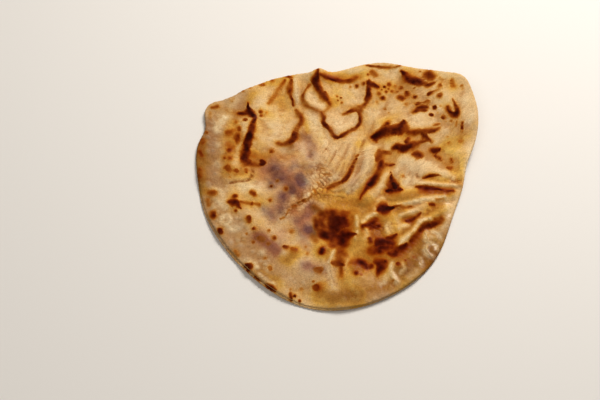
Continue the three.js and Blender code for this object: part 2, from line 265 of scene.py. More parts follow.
# %% Dots and freckles of the far half
SPOTS = [
    # left side
    (0.95, 1.6, [(-80.5, 62)]), (0.52, 3.2, [(-95.5, 49.5, 3.2), (-91, 52, 1.6)]),
    (0.62, 1.6, [(-86, 54.5, 1.3), (-86, 52, 1.3)]), (0.50, 1.7, [(-88.5, 60.5)]),
    (0.70, 2.0, [(-94, 31.5)]), (0.58, 1.7, [(-97.5, 23)]), (0.64, 2.0, [(-93, 23)]),
    (0.42, 2.8, [(-95.5, 14, 2.8), (-93.5, 11.5, 2.2)]), (0.52, 2.2, [(-87, 11)]),
    (0.80, 1.1, [(-79, 12.5), (-78.5, 9.3, 0.8)]), (0.40, 1.0, [(-92, 5)]), (0.74, 1.6, [(-67, 70.5)]),
    (0.68, 1.4, [(-66.5, 66.5)]), (0.40, 1.0, [(-62, 70)]), (0.72, 1.9, [(-57, 30)]),
    (0.88, 2.0, [(-65.5, 20.8, 1.5), (-64, 18.8, 2.3), (-66.3, 17.8, 1.5)]),
    (0.50, 1.4, [(-110.5, 74.5), (-105.5, 76)]), (0.30, 1.2, [(-112, 70), (-112, 65)]),
    (0.56, 1.7, [(-114, 49)]), (0.50, 1.9, [(-117.5, 42), (-117, 39)]),
    (0.46, 1.5, [(-119.5, 30), (-117.5, 26)]), (0.44, 1.6, [(-119, 12), (-118, 5)]),
    (0.62, 1.3, [(-57, 104)]), (0.55, 1.4, [(-67.5, 99.5), (-64.5, 99.7)]), (0.38, 1.2, [(-77, 95.5)]),
    (0.32, 1.4, [(-83, 92)]), (0.50, 1.8, [(-44, 108.5), (-41, 107)]), (0.45, 0.8, [(-93, 81.5)]),
    (0.38, 0.7, [(-91.5, 84)]),
    # far middle and right
    (0.74, 1.4, [(-10, 89.5)]), (0.82, 1.1, [(4, 84.5)]), (0.55, 0.8, [(1, 86)]), (0.58, 1.0, [(1.5, 82)]),
    (0.52, 1.0, [(5, 80)]), (0.78, 1.7, [(18.5, 96)]), (0.48, 1.1, [(12.5, 95.5)]),
    (0.52, 2.2, [(32, 108.5), (35, 105.3)]), (0.62, 1.0, [(28.5, 106.5)]), (0.55, 1.9, [(24.5, 97.5)]),
    (0.80, 1.3, [(43, 93.5)]), (0.78, 1.6, [(47, 96)]), (0.55, 0.8, [(46.5, 91.5)]),
    (0.55, 0.8, [(40.5, 91)]), (0.70, 1.2, [(44.5, 88.5)]), (0.64, 1.3, [(49.5, 88.5)]),
    (0.52, 1.6, [(38, 87)]), (0.55, 1.0, [(53.5, 88)]), (0.45, 0.9, [(52.5, 94)]),
    (0.78, 1.6, [(57.5, 92)]), (0.80, 1.9, [(41.5, 83)]), (0.34, 1.0, [(36, 79.5)]),
    (0.92, 2.0, [(55.5, 82.7), (58, 81.5)]), (0.80, 1.8, [(62, 87.5, 1.6), (62.3, 85)]),
    (0.55, 1.3, [(69, 90.5)]), (0.50, 1.4, [(61.7, 76)]), (0.64, 1.0, [(43, 72)]),
    (0.55, 0.8, [(46.5, 68)]), (0.55, 1.1, [(74.5, 105)]), (0.42, 0.8, [(91, 98), (94, 95.5)]),
    (0.50, 2.0, [(101, 93.5), (102.3, 89)]), (0.80, 1.6, [(91.5, 90)]),
    (0.90, 1.6, [(80.7, 82.8), (83.3, 84.5, 1.3)]), (0.52, 0.9, [(86, 85.3, 0.7), (89.5, 86.3, 1.0)]),
    (0.96, 1.8, [(91, 80.5)]), (0.84, 1.8, [(69.5, 82)]), (1.0, 1.9, [(71.5, 75)]),
    (0.62, 1.9, [(77.5, 76.2, 1.4), (80, 76.5)]), (0.98, 2.4, [(68.3, 67.7, 1.9), (70.5, 69, 1.9)]),
    (0.98, 2.0, [(72, 71, 1.8), (75.5, 71.3, 2.0), (79, 71, 1.5)]),
    (0.94, 1.3, [(74, 68.6, 1.2), (78, 68.3, 1.3)]), (0.95, 1.8, [(86, 70.5)]), (0.92, 2.1, [(83, 63.5)]),
    (0.78, 1.9, [(93, 60)]), (0.40, 0.8, [(91, 71)]), (0.40, 0.9, [(88.5, 65)]), (0.40, 0.8, [(95, 56)]),
    (0.55, 1.4, [(100, 56.5)]), (0.74, 1.4, [(109, 54, 1.1), (108.5, 49, 1.6), (108, 46, 1.0)]),
    (0.46, 0.8, [(104.5, 57), (103.5, 52)]), (0.50, 1.1, [(110, 88)]), (0.34, 1.1, [(111, 85)]),
    (0.60, 1.2, [(84.5, 53.3, 0.8), (87, 54.2, 1.3), (89.5, 54.8, 0.7)]),
    (0.99, 2.4, [(66, 26.2, 1.6), (69.3, 25.8, 3.1), (72, 24.7, 2.0), (73, 23, 0.8)]),
    (0.97, 2.0, [(82, 30.5), (85, 30, 2.4), (88.5, 30.5, 1.4)]),
    (0.80, 1.4, [(83.5, 24.7), (87.5, 22.5, 1.6), (89.5, 20.5, 1.0)]),
    (0.88, 1.1, [(97.5, 21, 1.0), (98, 18, 1.2)]),
    (0.78, 1.3, [(94, 12.8, 1.1), (96.3, 12, 1.6), (98, 13.5, 0.7)]), (0.46, 0.6, [(91, 18), (94, 13)]),
    (0.44, 1.2, [(97, 36.5)]), (0.42, 1.0, [(95.5, 41.5)]), (0.40, 1.5, [(106.5, 37)]),
    (0.44, 1.8, [(56.5, 5.5)]), (1.0, 2.4, [(47, -2), (48.3, -6, 2.8)]),
]
print(len(SPOTS), "dots of the far half")

# %% Dots and freckles of the middle and the near half
SPOTS += [
    # scorched strand in the middle
    (0.62, 1.2, [(18.5, 27, 0.8), (16.5, 24.5, 1.3)]),
    (0.88, 1.4, [(16, 22.5, 1.1), (14, 18.5, 1.2), (12.4, 14.3, 1.4), (11, 10.3, 1.4), (9.4, 6.7, 1.7)]),
    (0.92, 1.8, [(9.4, 6.7, 1.7), (6.8, 2.7, 2.1), (3.5, 0, 1.5)]),
    (0.56, 1.6, [(3.5, 0, 1.5), (0, -1, 1.4)]),
    (0.42, 1.6, [(0, -1, 1.4), (-4.5, -3, 1.9), (-8.5, -5.6, 1.2)]),
    # tear between the middle and the mauve part, and the cracks beside it
    (0.44, 0.7, [(-22.5, -12), (-23.5, -15), (-26, -17)]), (0.52, 1.2, [(-28.5, -18), (-30.5, -18.6)]),
    (0.34, 0.7, [(-32.5, -19.5), (-34, -20.3)]), (0.42, 1.2, [(-36.5, -23), (-38.5, -24)]),
    (0.46, 0.8, [(-41.5, -27), (-43, -29.5), (-44, -32)]), (0.44, 0.8, [(-46, -34), (-49, -35.5)]),
    (0.48, 0.9, [(-20.5, -7.5), (-19.5, -10.5)]), (0.30, 0.7, [(-14, 14), (-11, 12.5)]),
    (0.28, 0.9, [(-11, 8, 0.6), (-8, 7.3), (-5, 6.5, 0.6)]), (0.30, 0.8, [(-18, 0), (-16, -2)]),
    # near left and left middle
    (0.44, 2.5, [(-109, -10.5), (-106, -10.5)]), (0.44, 1.8, [(-111, -17, 1.4), (-110, -22)]),
    (0.82, 2.6, [(-106, -30.5, 2.3), (-105.5, -32.5)]), (0.72, 2.6, [(-99.5, -47), (-99.2, -48)]),
    (0.82, 2.0, [(-87.5, -14)]),
    (0.90, 2.7, [(-92.5, -20, 1.4), (-89, -20.6, 2.7), (-86.5, -20.5, 2.4), (-84.5, -24, 1.2),
        (-82.5, -26, 0.8)]),
    (0.42, 1.2, [(-83, -19.5), (-76, -20.5), (-70, -21), (-67, -22, 1.8)]), (0.60, 1.7, [(-73, -21)]),
    (0.76, 1.3, [(-86.5, -28)]), (0.72, 2.0, [(-73.5, -10.5, 1.8), (-71.5, -12)]),
    (0.68, 2.4, [(-75.6, -35.5), (-75.2, -38.5, 1.7)]), (0.62, 1.8, [(-71, -45)]),
    (0.52, 1.4, [(-58, -46)]), (0.44, 1.8, [(-39.5, -47)]), (0.54, 1.4, [(-57.5, -18)]),
    (0.84, 1.7, [(-53.5, -53)]), (0.62, 1.8, [(-45.5, -61.3), (-43.5, -62)]),
    (0.56, 1.7, [(-39, -63.5), (-36, -64)]), (0.44, 1.0, [(-27.5, -61.5)]), (0.38, 1.4, [(-26, -68)]),
    (1.0, 2.2, [(-14.2, -65.5, 2.0), (-14.6, -67.3, 2.2)]), (0.66, 3.5, [(-18.5, -98.5)]),
    (0.48, 1.0, [(-21.5, -93)]), (0.44, 1.7, [(-57.3, -80.5), (-56.5, -82)]),
    (0.90, 2.4, [(-77, -79, 1.6), (-74, -80.5, 2.8), (-76, -84, 1.3)]), (0.52, 1.4, [(-71, -57)]),
    (0.38, 0.9, [(-77, -49.5)]), (0.44, 1.1, [(-61, -72)]), (0.46, 1.6, [(-86, -66), (-84, -69)]),
    (0.78, 2.2, [(-60, -96, 1.0), (-56, -99.5, 2.4), (-53, -101, 1.2)]),
    (0.62, 1.2, [(-69, -89), (-66, -92)]), (0.68, 1.6, [(-40.5, -104, 1.2), (-39.5, -108)]),
    (0.95, 1.1, [(-36.5, -106)]), (0.64, 1.4, [(-32.5, -110)]), (0.38, 1.0, [(-40, -100)]),
    (0.38, 1.0, [(-31, -99)]), (0.44, 2.8, [(-18.5, -82), (-16, -82.5)]), (0.88, 1.2, [(-57, -4)]),
    (0.54, 1.9, [(-44, -7)]), (0.50, 1.6, [(-51.5, 1.5)]), (0.52, 1.7, [(-58.5, -58.5)]),
    (0.44, 2.4, [(-66.5, -53.5), (-64, -54.5)]),
    # near right
    (0.82, 1.4, [(14, -86)]), (0.44, 1.0, [(18, -87)]), (0.62, 1.7, [(48.5, -78)]),
    (0.48, 1.2, [(62, -70.5)]), (0.48, 1.0, [(55, -74)]), (0.45, 1.0, [(44, -92.5)]),
]
print(len(SPOTS), "dots in all")

# %% [markdown]
# ## Broad washes
#
# Besides burns there are soft areas. They are paths too, only wider and blurred. The sheen is painted: a
# faint mauve cast, mostly over the left middle, where the skin is oily, that paints in the reflection of a
# light on it, and smoke is the darker blots in it, scorch with the same painted sheen. Gold is dough soaked
# with ghee, and pools are where the ghee has gathered and browned. Rust is the orange and brown bake round
# the burns.

# %% Painted sheen, and smoke with sheen
PAINTED_SHEEN = [
    (1.0, 11, [(-58, 18), (-50, 6)]), (0.8, 8.0, [(-66, 6), (-66, 16)]), (1.1, 9.0, [(-44, 4), (-36, -6)]),
    (0.9, 6.0, [(-46, -14), (-48, -24)]), (0.8, 4.5, [(-57, -29), (-54, -34)]),
    (0.8, 6.0, [(-33, 8), (-33, -14)]), (0.4, 5.0, [(-26, 10), (-22, 14)]),
    (0.7, 6.0, [(-44, 20), (-38, 22)]), (1.0, 8.0, [(-25, -25), (-30, -37), (-25, -47)]),
    (0.7, 5.0, [(-27, 46), (-22, 36), (-24, 26)]), (1.3, 5.4, [(-67, -52), (-60, -58), (-53, -65)]),
    (1.0, 3.6, [(-26, -79.5), (-15, -82)]), (0.5, 7.0, [(-48, -52), (-40, -44)]),
    (0.6, 4.0, [(-30, -59), (-26, -61)]), (1.0, 6.0, [(-34.5, -40), (-36, -27)]),
    (0.6, 4.4, [(-37, 38), (-34, 33)]), (0.6, 2.6, [(-20, 72.5), (-13, 69)]),
    (0.6, 2.4, [(-32.5, 66), (-31.7, 60)]), (0.5, 2.4, [(-8, 55), (-3, 47.5)]),
    (0.45, 2.2, [(16.5, 15), (14.5, 4), (9.5, -4)]),
]
SMOKE_AND_SHEEN = [
    # mauve blots of the left middle: scorch with painted sheen
    (1.15, 5.0, [(-53.5, 13.5)]), (0.95, 6.0, [(-51, 6), (-47, 3)]), (1.5, 4.6, [(-31.5, 4), (-31.5, 0)]),
    (0.95, 4.4, [(-40, -3), (-39, -9)]), (0.85, 4.4, [(-47, -13), (-47, -19)]),
    (0.75, 4.0, [(-48, -24), (-49, -28)]), (0.60, 3.0, [(-41, 12), (-37, 16), (-32, 15.5)]),
    (0.60, 2.2, [(-28, 13), (-22, 15.5)]), (0.95, 3.0, [(-57.5, 1), (-56.5, -4)]), (0.40, 3.0, [(-25, 7)]),
    (0.75, 3.0, [(-64, -24, 2.4), (-60, -29), (-55.5, -33)]), (0.55, 3.4, [(-36, -10), (-32, -14)]),
    (0.5, 3.0, [(-28, 45), (-24, 44)]), (0.65, 1.9, [(-24, 43), (-22, 36), (-23, 28), (-25, 25)]),
    (0.65, 2.4, [(-42, 36), (-42, 32)]), (0.40, 1.4, [(-49, 35), (-48.5, 30)]),
    # left of the big burn
    (0.80, 3.6, [(-22, -24), (-16, -28)]), (0.55, 4.4, [(-27, -30), (-34, -36)]),
    (1.25, 4.6, [(-26, -45), (-21, -47)]), (0.80, 2.4, [(-20, -36), (-19, -43)]),
    (0.45, 3.0, [(-34, -46), (-30, -52)]),
    # near left
    (0.65, 3.2, [(-68, -52), (-63, -55)]), (0.50, 3.4, [(-59, -58), (-52, -64)]),
    (0.30, 2.4, [(-54, -66), (-50, -58)]), (0.55, 2.8, [(-29, -78.5), (-25, -79)]),
    (0.75, 3.0, [(-21, -82), (-15, -82.5)]),
    # thin over the scorched ridges
    (0.60, 2.0, [(-18, 105), (-17.5, 96), (-13, 88)]), (0.55, 2.0, [(-77, 73), (-74, 65)]),
    (0.55, 1.8, [(-33, 68), (-31.5, 60), (-36, 51)]),
    (0.55, 1.6, [(-29, 88), (-29, 79), (-20, 72.5), (-12, 66), (-9, 57), (-3, 48)]),
    (0.45, 1.4, [(21, 73), (21.5, 62), (12, 52.5)]),
]
print(len(PAINTED_SHEEN), "hazes,", len(SMOKE_AND_SHEEN), "blots of smoke")

# %% Gold and pools of ghee
GOLD = [
    # near right and middle: ghee lies between the burns
    (1.0, 11, [(18, -24), (16, -40), (14, -56)]), (1.3, 5.0, [(17, -56), (17, -71)]),
    (1.1, 12, [(32, -36), (38, -54)]), (1.2, 9.0, [(22, -68), (36, -72), (48, -74)]),
    (1.1, 10, [(58, -66), (68, -58)]), (1.2, 9.0, [(50, -83), (62, -74), (76, -62)]),
    (1.3, 5.0, [(43, -15), (56, -15), (66, -13)]), (1.0, 4.0, [(70, -11), (92, -11)]),
    (0.9, 2.4, [(77, 1.5), (93, 0.5)]), (1.0, 6.0, [(4, -93)]),
    (1.1, 4.0, [(50, -27), (60, -39), (56, -47)]), (0.9, 4.5, [(88, -24), (76, -31)]),
    (0.7, 6.0, [(-2, -20), (6, -17)]), (0.6, 5.0, [(31, 38), (22, 36)]),
    (1.0, 5.0, [(-15, -12), (-8, -14)]), (1.0, 4.0, [(-6, -21), (0, -21)]), (0.9, 3.4, [(44, 12)]),
    (1.3, 6.0, [(14, -82)]), (1.1, 7.0, [(-13, -65)]), (1.1, 8.0, [(-14, -104), (12, -105)]),
    # right edge and the burns beside it
    (0.95, 7.0, [(93, 32), (97, 24), (102, 12)]), (0.6, 5.0, [(45, 24), (51, 26)]),
    (0.7, 3.4, [(44, 40), (52, 42), (66, 44)]), (0.9, 3.0, [(105, 1), (106, 23)]), (0.8, 3.0, [(56, 4)]),
    (0.9, 3.0, [(31, 16), (25, 2), (18, -11)]), (0.7, 4.0, [(48, 62), (40, 60)]),
    (1.0, 4.0, [(97, 39), (106, 38)]),
    # left and far sides
    (0.5, 8, [(-92, 58), (-93, 34), (-92, 10)]), (0.9, 4.0, [(-119, 36), (-120, 12), (-117, -8)]),
    (0.5, 6.0, [(-50, 86), (-46, 76)]), (0.6, 5.0, [(-62, 70), (-58, 66)]),
    (0.7, 3.5, [(-78, 81), (-74, 88), (-67, 94)]), (0.7, 4.0, [(-44, 108), (-62, 101)]),
    (0.9, 4.0, [(-4, 105), (24, 106)]), (0.5, 5.4, [(-3, 82), (2, 90)]), (0.5, 6.0, [(42, 91), (51, 93)]),
    (0.8, 5.0, [(64, 104)]), (0.7, 4.0, [(98, 96), (102, 86)]), (0.75, 4, [(-60, 26), (-74, 28)]),
    (0.75, 5, [(-70, 6), (-88, 6)]), (0.7, 2.6, [(-28, 62), (-26, 52)]),
    # near left
    (0.3, 5, [(-76, -24), (-66, -20)]), (0.4, 5.0, [(-86, -6), (-88, -26)]),
    (1.1, 5.0, [(-37, -67), (-43, -73)]), (0.5, 5.0, [(-50, -96), (-66, -84)]),
    (0.35, 4.0, [(-75, -38), (-70, -46)]),
]
POOLS = [
    # near right and middle
    (0.9, 5.0, [(14, -82), (20, -85)]), (0.7, 4.0, [(25, -87)]),
    (0.5, 4.0, [(43, -15), (56, -15), (66, -13)]), (1.0, 2.8, [(70, -11), (82, -11.5), (95, -11.5)]),
    (0.6, 6.0, [(34, -47), (30, -52)]), (0.7, 5.0, [(58, -64), (67, -55)]),
    (0.4, 9.0, [(48, -84), (61, -75), (72, -64)]), (0.9, 6.0, [(73, -79), (81, -69)]),
    (0.25, 4.0, [(18, -63), (17, -70)]), (0.6, 5.0, [(24, -24), (28, -29)]),
    (0.6, 3.6, [(50, -28), (60, -39), (55, -47)]), (0.5, 3.6, [(76, -30), (84, -26)]),
    (0.7, 4.4, [(-6, -20.5), (6, -20), (17, -20)]), (0.5, 3.4, [(-14, -12), (-9, -14)]),
    (0.5, 3.0, [(44, 12)]), (0.7, 4.0, [(-13, -65)]), (0.3, 5.0, [(-6, -105), (5, -105)]),
    (0.9, 5.0, [(24, -99), (39, -97)]), (0.9, 4.4, [(18, -92), (29, -92)]),
    # right
    (0.15, 2.6, [(40, 42), (52, 42), (64, 44)]), (0.5, 2.2, [(31, 16), (25, 2)]),
    (0.5, 3.4, [(34, -11), (39, -14)]), (0.5, 1.8, [(106, 23)]), (0.5, 4.4, [(97, 41), (105, 39)]),
    (0.6, 2.4, [(56, 4)]),
    # far and left
    (0.5, 3.0, [(22, 107), (8, 106), (-6, 106)]), (0.6, 3.0, [(66, 104)]),
    (0.5, 3.0, [(-60, 26), (-70, 27)]), (0.6, 5.0, [(-95, 37), (-93, 10)]), (0.8, 4.4, [(-38, -67)]),
    (0.35, 5.0, [(-79, -54), (-73, -51)]), (0.5, 3.0, [(-43, -74)]), (0.5, 2.0, [(-119, 36), (-119, 6)]),
]
print(len(GOLD), "golden places,", len(POOLS), "pools")

# %% Rust round the burns
RUST = [
    # big burn in tiles: left, middle, right, top, foot, and the drip
    (0.66, 5.0, [(-14, -32), (-13, -43)]), (0.80, 5.2, [(-5, -34), (-5, -46)]),
    (0.52, 4.2, [(6, -34), (6, -46)]), (0.66, 3.6, [(-9, -28.5), (-3, -29)]),
    (0.46, 3.2, [(3, -29.5), (8, -30)]), (0.84, 5.2, [(-14, -49.5), (-6, -51), (5, -52)]),
    (0.72, 4.6, [(-5, -56), (4, -58)]), (0.56, 4.8, [(1, -63), (2, -69)]),
    (0.42, 3.6, [(1, -72), (0, -77)]), (0.24, 2.4, [(1, -81), (1, -88)]),
    # close round the big burn
    (0.36, 3.2, [(-21, -24.5), (-17, -27)]), (0.66, 2.6, [(-19.5, -35), (-19, -41), (-18, -46)]),
    (0.38, 3.6, [(5, -76), (14, -75)]), (0.36, 3.4, [(-21, -52), (-19, -56)]),
    (0.60, 3.6, [(-6, -60), (-1, -61)]), (0.30, 2.4, [(11, -33), (11, -44)]),
    (0.22, 3.0, [(10, -28), (14, -29)]),
    # middle
    (0.14, 6.0, [(-36, -18), (-34, -28)]), (0.30, 2.4, [(1, -1.5), (-4, -4), (-10, -7)]),
    # near right
    (0.34, 2.4, [(49, -70), (54, -67)]), (0.46, 5.0, [(28, -65), (36, -63), (44, -60)]),
    (0.41, 4.0, [(33, -57), (44, -56)]), (0.44, 3.8, [(33, -75), (35, -79), (33, -83)]),
    (0.39, 3.6, [(17, -75), (25, -79)]), (0.41, 3.4, [(21.5, -43.5), (27.5, -40.5), (31, -38)]),
    (0.34, 3.0, [(28, -44), (34, -43)]), (0.34, 2.6, [(26, -51), (26, -57)]),
    (0.28, 5.0, [(25, -48), (31, -52)]),
    (0.41, 3.0, [(47, -69), (56, -62), (64, -54), (71, -46), (80, -41), (87, -36)]),
    (0.28, 1.8, [(54, -36.6), (58, -36)]), (0.46, 3.2, [(35, -28.5), (40, -28)]),
    (0.36, 2.4, [(51, -2), (52.5, -6)]), (0.28, 1.8, [(70, -11), (82, -11.4), (93, -12)]),
    (0.18, 2.2, [(57, -36), (67, -32)]), (0.08, 2.0, [(78, -22), (81, -22)]),
    (0.28, 2.6, [(68, -6), (82, -7), (97, -9)]), (0.21, 3.0, [(14, -86)]),
    (0.18, 4.0, [(51, -77), (55, -74)]), (0.12, 3.0, [(98, -3.5), (104, -3)]),
    # right burns
    (0.10, 3.0, [(30, 43), (42, 46), (58, 48)]), (0.16, 2.4, [(60, 48), (88, 49)]),
    (0.44, 4.2, [(37, 29), (36.5, 21)]), (0.26, 2.6, [(37, 28.5), (43, 28.5)]),
    (0.16, 3.0, [(48, 33), (62, 36), (80, 39)]), (0.27, 3.0, [(42, 17), (35, 8), (27, -4)]),
    (0.27, 3.0, [(44, 2), (42, -8)]), (0.20, 3.0, [(68, 26), (76, 25)]),
    (0.36, 2.8, [(56, 29.5), (63, 28.5)]), (0.16, 2.6, [(84, 27), (88, 24)]),
    (0.16, 2.0, [(91, 31), (93, 33)]), (0.19, 1.4, [(90, 20), (95, 13)]), (0.19, 1.6, [(74, 4), (86, 5)]),
    (0.27, 3.4, [(43.5, 12)]),
    # far side
    (0.31, 3.0, [(-12, 86), (-6, 80)]), (0.23, 2.6, [(-13, 106), (4, 102), (20, 104)]),
    (0.08, 3.0, [(-22, 98), (-25, 94)]), (0.22, 2.8, [(25, 98), (38, 93)]),
    (0.06, 4.0, [(42, 91), (50, 91)]), (0.18, 3.0, [(62, 105), (69, 102), (77, 98)]),
    (0.06, 3.0, [(70, 79), (78, 74)]), (0.19, 2.6, [(98, 66), (104, 66)]),
    (0.23, 2.4, [(101, 94), (102, 88)]), (0.16, 2.4, [(8, 75), (18, 76)]),
    # left side
    (0.33, 3.8, [(-80, 20), (-70, 18)]), (0.20, 3.0, [(-55, 30), (-50, 27)]),
    (0.27, 3.6, [(-74, 26), (-66, 22)]), (0.27, 2.8, [(-86, 54), (-87, 42)]),
    (0.23, 3.0, [(-80, 71), (-87, 69.5)]), (0.08, 3.0, [(-74, 66), (-64, 68)]), (0.23, 3.0, [(-94, 50)]),
    (0.14, 3.6, [(-95, 14), (-90, 12)]), (0.36, 3.0, [(-95, 38), (-91, 34)]),
    (0.12, 2.6, [(-97, 24), (-93, 30)]), (0.23, 2.0, [(-42, 39), (-52, 37)]),
    (0.20, 2.4, [(-119, 40), (-120, 26)]), (0.20, 2.4, [(-119, 13), (-118, 3)]),
    (0.20, 3.6, [(-90, -19), (-84, -22)]), (0.20, 2.4, [(-107, -10.5)]), (0.17, 2.6, [(-75, -36)]),
    (0.28, 3.4, [(-86, 22), (-84, 16)]),
]
print(len(RUST), "rusty places")

# %% [markdown]
# ## Pale and puffed dough
#
# Pale is dry dough that never met the iron, and a few pale places are painted light on slopes that face
# away from the main light. Puffs are crests and blisters, paler still, with crisp sides; on many crests and
# wet bubble rims that paleness is a painted highlight. Tan is darker bake along the left and near edges, and
# painted shade as well: it darkens the left side more, lays a painted shadow along the near right edge, and
# paints shadow lines into two creases. Wet marks the few places where ghee still stands on the surface.
# Creased dough is drawn out into fine wrinkles, and crumbly dough has cracked into flakes. The last two have
# no colour of their own: they only tell the relief where to wrinkle and crack.

# %% Pale dough, puffs and painted highlights
PALE_AND_PAINTED_LIGHT = [
    # smooth cells of the far half
    (0.6, 7.0, [(-66, 76), (-62, 90)]), (0.6, 11, [(-58, 56), (-57, 42)]),
    (0.8, 5.0, [(-23, 87, 3.6), (-18, 81), (-12, 76, 3)]), (0.5, 6.0, [(66, 85), (64, 78)]),
    (0.7, 3.6, [(60, 84)]), (0.6, 3.6, [(76, 76)]), (0.5, 4.4, [(-71, 73.5), (-68, 71)]),
    (0.4, 4.0, [(71, 32), (79, 33)]), (0.4, 4.0, [(44, 36), (52, 41)]), (0.4, 4.4, [(46, 23), (50, 22)]),
    # the first mark of the next line is painted light on the right flap, whose slope faces away from the
    # main light
    (0.8, 7.0, [(94, 26), (100, 18)]), (0.7, 3.6, [(83, 36.5), (88, 37)]),
    (0.9, 6.0, [(-23, 66), (-20, 57)]), (0.4, 7.0, [(9, 66), (3, 57)]), (0.4, 6.0, [(2, 94), (14, 86)]),
    (0.7, 5.0, [(-15, 47), (-12, 40)]), (0.7, 5.0, [(-31, 33), (-29, 25)]),
    (0.5, 9.0, [(34, 68), (46, 76)]), (0.2, 7.0, [(66, 60), (84, 58)]), (0.5, 9.0, [(94, 78), (98, 44)]),
    (0.7, 5.0, [(54, 108), (44, 108)]), (0.8, 4.0, [(12, 110), (24, 111)]),
    (0.6, 4.0, [(88, 103), (108, 96)]),
    # near left
    (0.6, 8.0, [(-80, -4), (-68, -2)]), (0.5, 7.0, [(-40, -52), (-48, -42)]),
    (0.45, 6, [(-32, -76), (-24, -88)]),
    # dough of the folds, which the iron never reached, and painted light on fold slopes that lie in shade
    (0.9, 5.0, [(29, 34), (25, 20), (18, 4, 3.6), (7, -6, 3.6)]),
    (0.9, 7.0, [(60, 22), (55, 12), (60, -1)]), (1.0, 5.0, [(61, 11), (70, 15)]),
    (0.8, 5.4, [(78, 17), (90, 8)]), (0.3, 3.4, [(30, -12), (34, -18)]), (0.25, 4.0, [(8, -92), (24, -92)]),
    (0.2, 3.0, [(90, -34), (85, -46)]), (0.2, 7.0, [(-4, 32), (8, 34)]), (0.2, 5.0, [(-12, 30), (-4, 18)]),
    (0.5, 3.0, [(12, 20)]), (1.0, 1.8, [(19.5, 24), (18.5, 17)]), (0.8, 3.6, [(-19, 28), (-19, 15)]),
]
